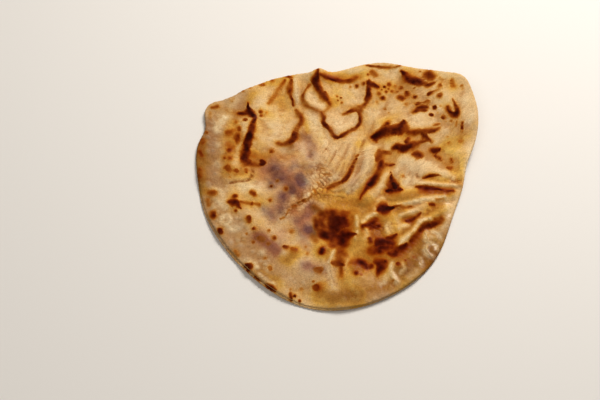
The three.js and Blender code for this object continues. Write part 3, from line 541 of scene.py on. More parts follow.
PUFFS_AND_HIGHLIGHTS = [
    # blisters of the left and the near left
    (0.4, 4.4, [(-92, 82)]), (1.2, 2.6, [(-105.5, 52), (-103, 58), (-98.5, 66)]),
    (0.9, 2.7, [(-80.5, 60), (-80, 51)]), (0.7, 1.8, [(-86, 34), (-86.5, 27), (-88, 18, 2.8)]),
    (0.6, 1.9, [(-104, 37)]), (0.6, 2.6, [(-103, 17)]),
    (0.6, 1.8, [(-108, -6.3), (-101, -7.5), (-98.5, -13)]), (0.8, 3.2, [(-100, -19), (-96, -24, 2.4)]),
    (0.6, 2.4, [(-105, -25)]),
    (0.9, 1.5, [(-91, -36.5), (-92.2, -33.6), (-95, -32.4), (-97.8, -33.6), (-99, -36.5), (-97.8, -39.4),
        (-95, -40.6), (-92.2, -39.4), (-91, -36.5)]),
    (0.8, 2.6, [(-92, -43.5), (-86.5, -45)]), (0.7, 4.0, [(-82, -5), (-74, -5)]),
    (0.6, 3.4, [(-67, -4), (-68, -9)]), (0.9, 2.2, [(-77, -74.5), (-71, -76.5), (-68.5, -80)]),
    (0.6, 3.2, [(-57.5, -81)]), (0.7, 1.6, [(-66, -87), (-60, -92), (-54, -96)]), (0.5, 2.2, [(-45, -67)]),
    (0.5, 2.6, [(-63, -66)]),
    # right edge
    (0.9, 2.4, [(113, 74)]), (0.9, 2.6, [(117, 59)]), (0.7, 2.0, [(112, 64)]), (0.6, 1.5, [(114, 69)]),
    (0.6, 1.5, [(119, 66)]), (0.6, 1.8, [(116, 54)]),
    (0.8, 1.4, [(114, 30), (112, 20), (109.5, 8), (108, -2)]),
    # crests between ridges, their paleness partly a painted highlight
    (0.7, 1.6, [(-37, 104), (-36, 92), (-34, 80)]),
    (0.7, 1.3, [(-27, -1, 0.8), (-22, 4.5), (-17.5, 9, 0.9)]), (0.6, 1.5, [(-28, -15), (-25, -11.5)]),
    (0.5, 1.5, [(-38, -14), (-37.5, -18)]), (0.5, 1.4, [(-33, -26), (-28, -22)]),
    (0.9, 1.6, [(33, 37), (31, 24), (26, 8), (18, -3), (8, -10)]),
    (0.7, 2.0, [(42, 9), (38, -1), (34, -9)]), (0.8, 2.4, [(51, 10), (55, 18), (58, 26)]),
    (0.7, 1.8, [(58, 6), (63, 16), (67, 22)]), (0.6, 1.8, [(55, -2), (61, 3), (66, 10)]),
    (0.4, 1.8, [(74, 15.5), (82, 17), (86, 15)]),
    (0.8, 1.3, [(71, -2), (80, -3, 1.6), (90, -4.5), (100, -5)]),
    (0.9, 1.6, [(50, -23, 1.2), (60, -21.3, 1.8), (68, -19.2), (78, -17.6, 1.9), (90, -16.4)]),
    (0.9, 1.8, [(50, -60, 1.4), (56, -54.5, 2.2), (62, -49, 1.8), (66, -43, 1.5), (70, -38.5),
        (77, -36.5, 1.2)]),
    (0.3, 2.0, [(42, -40), (43, -48)]), (0.7, 1.4, [(52, -33), (57, -31), (66, -28.5)]),
    (0.6, 1.6, [(40, -42), (42, -49)]), (0.7, 1.4, [(51, -44), (58, -41)]),
    (0.4, 2.2, [(91, -18), (93, -30), (88, -44)]), (0.8, 1.4, [(20, -40), (25, -34), (32, -31)]),
    (0.8, 1.4, [(31, -27), (34, -20), (38, -16)]), (0.7, 1.2, [(15, -34), (15.5, -43)]),
    (0.8, 1.4, [(15, -49), (13.5, -53)]), (0.7, 2.0, [(23, -45), (24, -55)]),
    (0.8, 1.0, [(-4, -65), (-9, -76)]), (0.5, 3.6, [(-10, -80), (-7, -90), (-5, -98)]),
    (0.7, 1.0, [(7, -74), (5, -79)]),
    # wet bubbles of the near right: pale rims with painted highlights, and one painted glint
    (0.75, 1.7, [(74, -47), (72, -50), (72, -55), (75, -58.5), (79, -60), (81, -64)]),
    (0.7, 1.8, [(78, -47), (82, -49), (84.5, -54)]),
    (0.75, 1.7, [(72.5, -61), (71.5, -65), (73, -69), (77, -71)]), (0.5, 1.6, [(76, -52), (78, -54)]),
    (0.15, 2.0, [(57, -63), (60, -68)]), (0.4, 2.2, [(63, -84), (58, -89)]),
    (0.8, 1.8, [(43, -78), (42.5, -84), (45, -90), (47, -94)]),
    (0.6, 1.4, [(52, -77), (53, -82), (50, -86)]), (0.9, 1.1, [(34, -95.5)]),
    (0.4, 1.5, [(67, -72), (67.5, -78)]), (0.5, 1.8, [(38, -88), (37, -94)]),
]
print(len(PALE_AND_PAINTED_LIGHT), "pale places,", len(PUFFS_AND_HIGHLIGHTS), "puffs")

# %% Tan with painted shade, wet, creased and crumbly dough
TAN_AND_SHADE = [
    # darker bake of the left edge, deepened by painted shade
    (1.2, 12, [(-113, 56), (-113, 30), (-112, 4)]), (0.8, 9.0, [(-112, -14), (-100, -50)]),
    (0.75, 14, [(-88, -44), (-90, -56), (-72, -72), (-54, -86)]), (0.9, 6.0, [(-100, -3), (-98, 4)]),
    (0.55, 12, [(-40, -92), (-20, -98)]), (0.75, 9.0, [(-6, -109), (24, -105), (44, -97)]),
    # the first mark of the next line is a painted shadow along the near right edge
    (0.9, 12, [(56, -86), (72, -78), (88, -54)]), (0.6, 10, [(-100, 72), (-110, 62)]),
    (0.8, 6.0, [(103, 47), (112, 45)]), (0.6, 7.0, [(93, -36), (88, -46)]),
    # the second mark of the next line and the mark after it are painted shadow lines in creases
    (0.7, 9.0, [(-92, 82), (-84, 90)]), (0.7, 3.6, [(-34.5, 92), (-35, 80)]),
    (0.8, 1.6, [(21.5, 14), (19.5, 4), (15.5, -3), (11, -8)]),
]
WET = [
    (0.6, 1.8, [(73, -49), (72, -54), (76, -58), (80, -62), (80, -66)]),
    (0.8, 1.6, [(72, -66), (75, -71), (79, -72)]), (0.5, 1.8, [(43, -82), (46, -92)]),
    (0.9, 1.6, [(34, -95.5)]), (0.7, 2.2, [(92, -20), (93, -32)]), (0.6, 1.6, [(67, -74), (68, -78)]),
    (0.6, 2.0, [(-78, 74), (-75, 66)]), (0.6, 2.0, [(66, 98), (75, 96)]),
]
CREASED = [
    (1.0, 12, [(-12, 34), (-6, 22), (-12, 8)]), (1.0, 10, [(26, 30), (18, 8), (6, -6)]),
    (1.0, 11, [(58, 22), (56, 6)]), (0.8, 8.0, [(76, 16), (92, 10)]), (0.6, 6.0, [(34, -14), (44, -40)]),
]
CRUMBLY = [
    (1.0, 7.0, [(-16, 12), (-12, 0), (-20, -10)]), (0.8, 5.0, [(-24, -13), (-34, -20), (-44, -29)]),
    (0.9, 4.0, [(99, 1), (105, -1)]), (0.7, 3.6, [(-67, -87), (-56, -96)]),
    (0.6, 4.0, [(-8, -84), (-6, -98)]), (0.6, 5.0, [(26, -42), (42, -44)]),
]
print(len(TAN_AND_SHADE), "tan,", len(WET), "wet,", len(CREASED), "creased and", len(CRUMBLY), "crumbly places")

# %% [markdown]
# ## Flakes, grooves and folds
#
# Rolled dough splits into thin layers. In the middle they lie as sheaves of curved strands, 2 to 5 mm
# apart, and elsewhere a layer has torn and left a step. What shows of a strand is the groove beside it, so
# a loop draws grooves between two borders of a sheaf, with a seeded wander so that none is a copy. The
# plainest grooves are listed one by one. Low crests of folds, finer than the solid's own, are paths as well.

# %% Flake edges
FLAKES = [
    (1.0, 3.0, [(106, 2), (107, 12), (108.5, 22), (109.5, 26), (104, 27.5), (99, 29), (93, 33)]),
    (1.0, 3.0, [(-50, -36), (-46, -28), (-39, -22), (-30, -18), (-23, -14), (-20, -8)]),
    (0.8, 3.0, [(-90, 0), (-80, 1.5), (-74, 4), (-71, 10)]),
    (0.7, 2.6, [(-22, -4), (-14, -12), (-6, -12), (4, -14)]), (0.7, 2.6, [(-12, -2), (-6, -8), (2, -8)]),
    (0.6, 2.4, [(-26, 8), (-20, -2), (-16, -8)]), (0.8, 2.4, [(-4, -64), (-8, -74), (-6, -88)]),
    (0.7, 2.2, [(4, -74), (2, -84), (-1, -94)]), (0.7, 2.6, [(44, -80), (42, -88), (48, -95)]),
    (0.8, 2.6, [(72, -48), (74, -56), (72, -64), (76, -72)]), (0.7, 2.4, [(20, -34), (18, -40), (22, -46)]),
    (0.7, 2.4, [(16, -46), (13, -53)]), (0.6, 2.6, [(-34, 98), (-34, 88), (-36, 80)]),
]
print(len(FLAKES), "flake edges")

# %% Grooves, darkened as painted shade
# a groove sinks the skin and is darkened in the material; the darkening is painted shade, as is the shadow
# line along the flap at the left
SHADED_GROOVES = [
    (0.8, 1.1, [(23, 41), (21.3, 34), (19.7, 28)]),
    (0.7, 1.2, [(23, 29), (22.5, 20), (21.5, 12), (18.5, 4), (13, -5)]),
    (0.7, 1.0, [(22, 30), (21.8, 20), (20.8, 10), (18.8, 3), (15, -3), (11, -8)]),
    (0.5, 1.0, [(28, 30), (27.5, 18), (25, 8), (21, 0)]),
    (0.9, 1.4, [(-13.5, 18, 0.8), (-12.5, 24, 1.4), (-11, 29, 1.6), (-10, 33, 0.8)]),
    (0.9, 1.6, [(-8, 14, 0.9), (-6, 20, 1.4), (-3, 27, 1.9), (-1, 31, 0.8)]),
    (0.8, 1.5, [(-3, 8, 1.0), (-0.5, 14), (2, 21, 0.8)]), (0.5, 1.2, [(-12, 7), (-8, 8), (-4, 9)]),
    (0.8, 1.2, [(68, 21), (66, 13), (68, 5)]), (0.7, 1.2, [(57, 25), (55, 16), (57, 8)]),
    (0.6, 1.1, [(62.5, 23), (60.5, 14), (61.5, 5)]), (0.6, 1.2, [(82, 17), (88, 13), (91, 8)]),
    (0.7, 1.3, [(1, 6), (3.5, 11, 1.5), (5.5, 17, 0.9)]),
    (1.3, 1.2, [(-92, -0.5), (-86, 1), (-78, 1.5), (-74.5, 4.5), (-72.5, 11)]),
]
SHEAVES = [
    # a border, the opposite border, and how many grooves lie between
    ([(-27, 0), (-21, 12), (-16, 22), (-11, 32), (-6, 40)],
        [(-8, -4), (3, 5), (9, 14), (14, 24), (18, 36)], 5),
    ([(-4, -4), (6, 5), (12, 15), (17, 25), (21, 34)],
        [(9, -12), (21, -2), (28, 11), (31, 25), (33, 38)], 4),
    ([(49, -2), (51, 8), (54, 18), (57, 27)], [(68, -3), (70, 6), (74, 14), (79, 21)], 6),
    ([(78, 9), (84, 10), (92, 7)], [(76, 20), (86, 19), (95, 10)], 4),
    ([(-10, -66), (-12, -78), (-10, -92)], [(6, -72), (5, -82), (0, -98)], 3),
]
GROOVE_PLACE = (0.1, 0.9)  # where in its own share of the sheaf a groove may lie
GROOVE_WANDER = 1.3
GROOVE_STRENGTH, GROOVE_HALF_WIDTH = (0.12, 0.5), (1.1, 2.4)
LONG_PATH = 3  # a path of more points than this may lose its first or last one
END_CUTS = (0, 0, 1)  # each end loses a point one time in three

wander = random.Random(7)
for first, last, count in SHEAVES:
    for i in range(count):
        share = (i + wander.uniform(*GROOVE_PLACE)) / count
        path = []
        for (ax, ay), (bx, by) in zip(first, last):
            x = ax + share * (bx - ax) + wander.uniform(-1, 1) * GROOVE_WANDER
            y = ay + share * (by - ay) + wander.uniform(-1, 1) * GROOVE_WANDER
            path.append((x, y))
        start, end = 0, len(path)
        if len(path) > LONG_PATH:
            start += wander.choice(END_CUTS)
            end -= wander.choice(END_CUTS)
        strength, half_width = wander.uniform(*GROOVE_STRENGTH), wander.uniform(*GROOVE_HALF_WIDTH)
        SHADED_GROOVES.append((strength, half_width, path[start:end]))
print(len(SHADED_GROOVES), "grooves")

# %% Fold crests
FOLDS = [
    # crests that fan out from the gathered right edge
    (0.9, 2.2, [(106, -5, 2.0), (92, -4.5, 1.6), (80, -3.2, 2.0), (70, -2.2, 1.4)]),
    (0.8, 2.6, [(99, -13, 3.4), (88, -15.5, 2.4), (76, -18, 2.2), (62, -20.5, 2.4), (48, -22, 1.8)]),
    (0.9, 2.2, [(88, -28, 3.0), (82, -33, 2.6), (74, -37, 2.0), (67.5, -41, 1.7), (63, -47.5, 2.0),
        (50, -60, 2.4)]),
    (0.6, 2.6, [(72, -24, 1.8), (64, -28), (53, -31.5)]),
    (0.6, 2.0, [(66, -38, 1.4), (70, -31, 2.2), (75, -23, 1.4)]),
    (0.8, 4.0, [(100, 3), (90, 6), (76, 10), (62, 22)]), (0.6, 3.5, [(58, 26), (52, 14), (56, 2)]),
    # long folds beside the strands
    (0.8, 3.2, [(42, 6), (36, -4), (28, -14), (20, -21)]),
    (0.9, 3.4, [(30, 34), (26, 18), (18, 4), (4, -7)]),
    # swells round the burnt middle and the broken patches
    (0.7, 3.0, [(16, -28), (16, -42), (9, -62)]), (0.7, 2.2, [(20, -42), (26, -33), (34, -31)]),
    (0.6, 2.4, [(56, -41), (44, -46), (40, -50)]),
    # edges of the pale cells of the far half
    (0.6, 3.0, [(-35, 104), (-35, 84)]), (0.6, 4.0, [(-66, 92), (-68, 74), (-70, 58), (-70, 42)]),
    (0.5, 4.0, [(-42, 70), (-40, 58), (-46, 46)]), (0.5, 3.0, [(-26, 92), (-24, 80), (-14, 76)]),
    (0.5, 3.0, [(14, 68), (10, 58), (2, 54)]), (0.5, 4.0, [(36, 60), (48, 64), (62, 58)]),
]
print(len(FOLDS), "fold crests")

# %% [markdown]
# ## Marks for the underside
#
# The side that lay on the griddle last is spotted all over: the dough touched the iron at many small bumps.
# No single spot matters there, so a seeded draw places them, bigger ones first, and drops any that falls
# off the round.

# %% Underside spots
UNDER_SPOTS = 120
UNDER_REACH = 106
UNDER_LEAST, UNDER_MORE = 1.4, 4.6  # the smallest half width, and what the first spots may add to it
UNDER_SIZE_DRAW = (0.4, 1.0)
UNDER_STRETCH = 1.2  # how long a spot is, in half widths
UNDER_STRENGTH = (0.4, 0.85)

draw = random.Random(21)
UNDER = []
while len(UNDER) < UNDER_SPOTS:
    x, y = draw.uniform(-UNDER_REACH, UNDER_REACH), draw.uniform(-UNDER_REACH, UNDER_REACH)
    shrink = (1 - len(UNDER) / UNDER_SPOTS) ** 2
    half_width = UNDER_LEAST + UNDER_MORE * shrink * draw.uniform(*UNDER_SIZE_DRAW)
    if math.hypot(x, y) < UNDER_REACH:
        turn = draw.uniform(0, math.tau)
        length = UNDER_STRETCH * half_width
        far_end = (x + length * math.cos(turn), y + length * math.sin(turn))
        UNDER.append((draw.uniform(*UNDER_STRENGTH), half_width, [(x, y), far_end]))
print(len(UNDER), "spots underneath")

# %% [markdown]
# ## Paths as objects
#
# Geometry Nodes take the paths as wire meshes: a vertex for each point, an edge to the next, and two
# numbers on each vertex. The wires are only helpers and are deleted once the bread has been painted.

# %% Wire meshes
DOT_LENGTH = 0.6


def wire(name, marks):
    """An object of edges along the marks, with half width in metres and strength on each vertex."""
    points, edges, widths, strengths = [], [], [], []
    for strength, half_width, path in marks:
        if len(path) == 1:
            x, y = path[0][:2]
            path = [(x - DOT_LENGTH / 2, y), (x + DOT_LENGTH / 2, y)]
        for i, point in enumerate(path):
            if i:
                edges.append((len(points) - 1, len(points)))
            points.append((point[0] * MM, point[1] * MM, 0))
            widths.append((point[2] if len(point) > 2 else half_width) * MM)
            strengths.append(strength)
    mesh = bpy.data.meshes.new(name)
    mesh.from_pydata(points, edges, [])
    mesh.attributes.new("half_width", "FLOAT", "POINT").data.foreach_set("value", widths)
    mesh.attributes.new("strength", "FLOAT", "POINT").data.foreach_set("value", strengths)
    return put(name, mesh)


MARKS = {
    "Burns": BURNS,
    "Spots": SPOTS,
    "Haze": PAINTED_SHEEN,
    "Smoke": SMOKE_AND_SHEEN,
    "Gold": GOLD,
    "Pools": POOLS,
    "Rust": RUST,
    "Pale": PALE_AND_PAINTED_LIGHT,
    "Puffs": PUFFS_AND_HIGHLIGHTS,
    "Tan": TAN_AND_SHADE,
    "Wet": WET,
    "Creased": CREASED,
    "Crumbly": CRUMBLY,
    "Flakes": FLAKES,
    "Grooves": SHADED_GROOVES,
    "Folds": FOLDS,
    "Under": UNDER,
}
wires = {name: wire(name.lower(), marks) for name, marks in MARKS.items()}
print({name: len(helper.data.vertices) for name, helper in wires.items()})

# %% [markdown]
# ## One function for every node
#
# Trees of nodes are easier to read when a node, its settings and its links stand in one call. A link is
# given as a node, which means its first output, or as a socket.

# %% Node helper


def node(tree, kind, links=None, **settings):
    """Adds a node, sets its properties, and fills or links its inputs."""
    made = tree.nodes.new(kind)
    for name, value in settings.items():
        setattr(made, name, value)
    for key, value in (links or {}).items():
        if isinstance(value, bpy.types.Node):
            value = value.outputs[0]
        if isinstance(value, bpy.types.NodeSocket):
            tree.links.new(value, made.inputs[key])
        else:
            made.inputs[key].default_value = value
    return made


def tree_with(name, inputs, outputs):
    """A node group with a modifier's sockets, each given as (name, socket type, start value)."""
    tree = bpy.data.node_groups.new(name, "GeometryNodeTree")
    for way, sockets in (("INPUT", inputs), ("OUTPUT", outputs)):
        for title, kind, value in sockets:
            socket = tree.interface.new_socket(title, in_out=way, socket_type=kind)
            if value is not None:
                socket.default_value = value
    return tree


# %% [markdown]
# ## How near is a mark?
#
# This group answers, for each point of the skin, how strongly the nearest mark touches it. The paths become
# rows of points, the skin is looked at from straight above, and the nearest row point gives its width and
# strength. Each row point is moved off the plane of the paths, a thin mark farther than a wide one, so
# where two overlap the wide one wins almost to its own edge. A little noise shifts the place where the skin
# looks, which frays the edges as real scorch is frayed.

# %% Nearness group
WIDEST = 25 * MM  # no mark's half width is greater
IN_PLAN = (1, 1, 0)
NOISE_MEAN = 0.5
FRAY_DETAIL = 2.0
AT_EDGE = 0.5  # a mark's share of its own strength where its half width ends

answer_names = ["Nearness", "Edge", "Strength", "Width", "Side"]
nearness = tree_with(
    "nearness_to_marks",
    [
        ("Marks", "NodeSocketObject", None),
        ("Spacing", "NodeSocketFloat", 0.7 * MM),
        ("Fray", "NodeSocketFloat", 2.0 * MM),
        ("Fray Size", "NodeSocketFloat", 6.0 * MM),
        ("Tail", "NodeSocketFloat", 1.5),
        ("Seed", "NodeSocketFloat", 0.0),
    ],
    [(name, "NodeSocketFloat", None) for name in answer_names],
)
given = node(nearness, "NodeGroupInput").outputs
marks = node(nearness, "GeometryNodeObjectInfo", {"Object": given["Marks"]})
curves = node(nearness, "GeometryNodeMeshToCurve", {"Mesh": marks.outputs["Geometry"]})
smooth = node(nearness, "GeometryNodeCurveSplineType", {"Curve": curves}, spline_type="CATMULL_ROM")
spaced = {"Curve": smooth, "Length": given["Spacing"]}
row = node(nearness, "GeometryNodeCurveToPoints", spaced, mode="LENGTH")
width = node(nearness, "GeometryNodeInputNamedAttribute", {"Name": "half_width"}, data_type="FLOAT")
power = node(nearness, "GeometryNodeInputNamedAttribute", {"Name": "strength"}, data_type="FLOAT")
place = node(nearness, "GeometryNodeInputPosition")

width_squared = node(nearness, "ShaderNodeMath", {0: width, 1: width}, operation="MULTIPLY")
off_squared = node(nearness, "ShaderNodeMath", {0: WIDEST**2, 1: width_squared}, operation="SUBTRACT")
off_plane = node(nearness, "ShaderNodeMath", {0: off_squared}, operation="SQRT")
offset = node(nearness, "ShaderNodeCombineXYZ", {"Z": off_plane})
moved = node(nearness, "GeometryNodeSetPosition", {"Geometry": row, "Offset": offset})

finer = node(nearness, "ShaderNodeMath", {0: 1.0, 1: given["Fray Size"]}, operation="DIVIDE")
frayed = {"Vector": place, "W": given["Seed"], "Scale": finer, "Detail": FRAY_DETAIL}
noise = node(nearness, "ShaderNodeTexNoise", frayed, noise_dimensions="4D")
centred = {0: noise.outputs["Color"], 1: (NOISE_MEAN, NOISE_MEAN, NOISE_MEAN)}
centred = node(nearness, "ShaderNodeVectorMath", centred, operation="SUBTRACT")
shift = node(nearness, "ShaderNodeVectorMath", {0: centred, "Scale": given["Fray"]}, operation="SCALE")
shifted = node(nearness, "ShaderNodeVectorMath", {0: place, 1: shift}, operation="ADD")
above = node(nearness, "ShaderNodeVectorMath", {0: shifted, 1: IN_PLAN}, operation="MULTIPLY")
asked = {"Geometry": moved, "Sample Position": above}
nearest = node(nearness, "GeometryNodeSampleNearest", asked, domain="POINT")


def at_nearest(value, data_type):
    """What the nearest row point holds."""
    found = {"Geometry": moved, "Value": value, "Index": nearest}
    return node(nearness, "GeometryNodeSampleIndex", found, data_type=data_type, domain="POINT")


there = at_nearest(place, "FLOAT_VECTOR")
there = node(nearness, "ShaderNodeVectorMath", {0: there, 1: IN_PLAN}, operation="MULTIPLY")
apart = node(nearness, "ShaderNodeVectorMath", {0: above, 1: there}, operation="SUBTRACT")
distance = node(nearness, "ShaderNodeVectorMath", {0: apart}, operation="LENGTH").outputs["Value"]
own_width = at_nearest(width, "FLOAT")
edge = node(nearness, "ShaderNodeMath", {0: distance, 1: own_width}, operation="SUBTRACT")
reach = node(nearness, "ShaderNodeMath", {0: distance, 1: own_width}, operation="DIVIDE")
drop = node(nearness, "ShaderNodeMath", {0: reach, 1: given["Tail"]}, operation="POWER")
bell = node(nearness, "ShaderNodeMath", {0: AT_EDGE, 1: drop}, operation="POWER")
strength = at_nearest(power, "FLOAT")
touch = node(nearness, "ShaderNodeMath", {0: bell, 1: strength}, operation="MULTIPLY")
heading = at_nearest(row.outputs["Tangent"], "FLOAT_VECTOR")
across = node(nearness, "ShaderNodeVectorMath", {0: heading, 1: apart}, operation="CROSS_PRODUCT")
side = node(nearness, "ShaderNodeSeparateXYZ", {0: across}).outputs["Z"]
node(nearness, "NodeGroupOutput", dict(zip(answer_names, (touch, edge, strength, own_width, side))))
print("nearness group:", len(nearness.nodes), "nodes")

# %% [markdown]
# ## The skin's own tree
#
# This tree asks the group about each kind of mark. A wash is blurred and kept on the skin for the material.
# Of a scorch the tree keeps where it ends, how wide it is and how strong, because its ragged edge is too
# fine for the mesh and is worked out in the material. Marks of the face fade where the skin turns down, and
# the underside has its own spots there.

# %% Griddled skin tree
skin_inputs = [("Geometry", "NodeSocketGeometry", None), ("Dough", "NodeSocketMaterial", None)]
skin_inputs += [(name, "NodeSocketObject", None) for name in wires]
skin_inputs += [
    ("Ridge Height", "NodeSocketFloat", 0.5 * MM),
    ("Dot Height", "NodeSocketFloat", 0.5 * MM),
    ("Pale Height", "NodeSocketFloat", 0.5 * MM),
    ("Puff Height", "NodeSocketFloat", 0.45 * MM),
    ("Flake Height", "NodeSocketFloat", 1.0 * MM),
    ("Groove Height", "NodeSocketFloat", -0.7 * MM),
    ("Fold Height", "NodeSocketFloat", 1.3 * MM),
    ("Flake Length", "NodeSocketFloat", 2.2 * MM),
    ("Blister Height", "NodeSocketFloat", 0.7 * MM),
    ("Blister Size", "NodeSocketFloat", 2.4 * MM),
    ("Blister Density", "NodeSocketFloat", 26000.0),
    ("Crease Height", "NodeSocketFloat", 1.2 * MM),
    ("Crack Height", "NodeSocketFloat", -0.8 * MM),
    ("Wave Height", "NodeSocketFloat", 1.8 * MM),
    ("Grain Height", "NodeSocketFloat", 0.65 * MM),
    ("Crinkle Height", "NodeSocketFloat", 0.35 * MM),
    ("Seed", "NodeSocketInt", 5),
]
skin = tree_with("griddled_skin", skin_inputs, [("Geometry", "NodeSocketGeometry", None)])
given = node(skin, "NodeGroupInput").outputs
place = node(skin, "GeometryNodeInputPosition")
normal = node(skin, "GeometryNodeInputNormal")
upward = node(skin, "ShaderNodeSeparateXYZ", {0: normal}).outputs["Z"]
FACE_BEGINS, FACE_FULL = -0.2, 0.5  # how far up the skin has to look
facing = {"Value": upward, "From Min": FACE_BEGINS, "From Max": FACE_FULL}
facing = node(skin, "ShaderNodeMapRange", facing, clamp=True)

# how far the edges wander and over what length, in mm, and how fast a wash fades
FRAY = {
    "Burns": (2.4, 6, 1.6),
    "Spots": (1.1, 4, 1.6),
    "Haze": (8, 12, 2.0),
    "Smoke": (4, 7, 1.7),
    "Gold": (6, 10, 1.8),
    "Pools": (3.5, 6, 1.9),
    "Rust": (4, 7, 2.6),
    "Pale": (5, 9, 1.9),
    "Puffs": (2.2, 5, 2.0),
    "Tan": (12, 24, 1.8),
    "Wet": (4, 6, 1.6),
    "Creased": (8, 12, 2.0),
    "Crumbly": (6, 8, 1.8),
    "Flakes": (1.4, 7, 1.6),
    "Grooves": (1.6, 9, 2.0),
    "Folds": (3, 12, 1.8),
    "Under": (3, 6, 1.6),
}
SEED_STEP = 10.0
near = {}
for turn, (name, (fray, size, tail)) in enumerate(FRAY.items()):
    asked = {"Marks": given[name], "Seed": SEED_STEP * turn}
    asked.update({"Fray": fray * MM, "Fray Size": size * MM, "Tail": tail})
    near[name] = node(skin, "GeometryNodeGroup", asked, node_tree=nearness)
print(len(near), "kinds of mark asked about")

# %% Washes and scorch kept on the skin
# rounds of blur, and the washes that only shape the skin
BLUR = {"Haze": 8, "Smoke": 2, "Gold": 6, "Pools": 3, "Rust": 4, "Pale": 3, "Puffs": 1, "Tan": 24, "Wet": 1}
BLUR.update({"Creased": 4, "Crumbly": 2, "Grooves": 0, "Folds": 2})
SHAPE_ONLY = ("Creased", "Crumbly", "Folds")
PAINTED = [name for name in BLUR if name not in SHAPE_ONLY]

shown = {}
for name, rounds in BLUR.items():
    blurred = {"Value": near[name], "Iterations": rounds}
    blurred = node(skin, "GeometryNodeBlurAttribute", blurred, data_type="FLOAT")
    shown[name] = node(skin, "ShaderNodeMath", {0: blurred, 1: facing}, operation="MULTIPLY")
shown["Burns"] = node(skin, "ShaderNodeMath", {0: near["Burns"], 1: facing}, operation="MULTIPLY")
either = {0: facing, 2: near["Under"], 3: near["Spots"]}
shown["Spots"] = node(skin, "ShaderNodeMix", either, data_type="FLOAT")

# where each scorch ends and how wide it is, in millimetres, and how strong it is
scorched = {}
for told, unit in (("Edge", MM), ("Width", MM), ("Strength", 1.0)):
    stroke = {0: near["Burns"].outputs[told], 1: unit}
    scorched["burn_" + told.lower()] = node(skin, "ShaderNodeMath", stroke, operation="DIVIDE")
    either = {0: facing, 2: near["Under"].outputs[told], 3: near["Spots"].outputs[told]}
    dot = {0: node(skin, "ShaderNodeMix", either, data_type="FLOAT"), 1: unit}
    scorched["spot_" + told.lower()] = node(skin, "ShaderNodeMath", dot, operation="DIVIDE")
above_only = {0: scorched["burn_strength"], 1: facing}
scorched["burn_strength"] = node(skin, "ShaderNodeMath", above_only, operation="MULTIPLY")


def stored(geometry, name, value):
    """The geometry with a number kept on every point."""
    kept = {"Geometry": geometry, "Name": name, "Value": value}
    made = node(skin, "GeometryNodeStoreNamedAttribute", kept, data_type="FLOAT", domain="POINT")
    return made.outputs["Geometry"]


painted = given["Geometry"]
for name in PAINTED:
    painted = stored(painted, name.lower(), shown[name])
for name, value in scorched.items():
    painted = stored(painted, name, value)
print(len(PAINTED), "washes and", len(scorched), "numbers of the scorch kept")

# %% [markdown]
# ## Relief
#
# The same marks shape the skin: scorched ridges, blister dots, puffed cells and folds stand up, grooves and
# cracks sink, and a flake edge drops on one side only. Small blisters, scattered by a fixed seed, swell
# most along the tan edges. Noises give the waves, crinkles and grain of rolled dough, and one that is drawn
# out along the strands gives the wrinkles. Heights are named inputs, so the relief can be tuned without
# touching the nodes.

# %% Blisters
BLISTER_DRAW = (0.35, 1.0)  # a blister's share of the full size
BLISTER_FALL = 0.3  # what is left of a blister one size away from its middle
PLAIN_SHARE, TAN_SHARE = 0.25, 0.75  # how high blisters are everywhere, and what tan adds

scatter = {"Mesh": given["Geometry"], "Density": given["Blister Density"], "Seed": given["Seed"]}
seeds = node(skin, "GeometryNodeDistributePointsOnFaces", scatter)
size_draw = {2: BLISTER_DRAW[0], 3: BLISTER_DRAW[1], "Seed": given["Seed"]}
size_draw = node(skin, "FunctionNodeRandomValue", size_draw, data_type="FLOAT")
spread = {0: size_draw.outputs[1], 1: given["Blister Size"]}
spread = node(skin, "ShaderNodeMath", spread, operation="MULTIPLY")
asked = {"Geometry": seeds, "Sample Position": place}
closest = node(skin, "GeometryNodeSampleNearest", asked, domain="POINT")
found = {"Geometry": seeds, "Value": place, "Index": closest}
centre = node(skin, "GeometryNodeSampleIndex", found, data_type="FLOAT_VECTOR", domain="POINT")
found = {"Geometry": seeds, "Value": spread, "Index": closest}
own_size = node(skin, "GeometryNodeSampleIndex", found, data_type="FLOAT", domain="POINT")
gap = node(skin, "ShaderNodeVectorMath", {0: place, 1: centre}, operation="DISTANCE")
gap = node(skin, "ShaderNodeMath", {0: gap.outputs["Value"], 1: own_size}, operation="DIVIDE")
gap = node(skin, "ShaderNodeMath", {0: gap, 1: gap}, operation="MULTIPLY")
swell = node(skin, "ShaderNodeMath", {0: BLISTER_FALL, 1: gap}, operation="POWER")
own_share = node(skin, "ShaderNodeMath", {0: own_size, 1: given["Blister Size"]}, operation="DIVIDE")
swell = node(skin, "ShaderNodeMath", {0: swell, 1: own_share}, operation="MULTIPLY")
edge_share = {0: shown["Tan"], 1: TAN_SHARE, 2: PLAIN_SHARE}
edge_share = node(skin, "ShaderNodeMath", edge_share, operation="MULTIPLY_ADD")
swell = node(skin, "ShaderNodeMath", {0: swell, 1: edge_share}, operation="MULTIPLY")
print(len(skin.nodes), "nodes in the skin tree, with blisters")

# %% Waves, wrinkles and cracks
WAVE_SIZE, GRAIN_SIZE, CRINKLE_SIZE = 13 * MM, 3.2 * MM, 14 * MM
CRINKLE_TWIST, CREASE_TWIST = 0.6, 0.5
CREASE_ANGLE = math.radians(-66)
CREASE_SIZE = (14 * MM, 2.6 * MM, 6 * MM)
CRUMB_SIZE, CRACK_SHARE = 3.8 * MM, 0.24

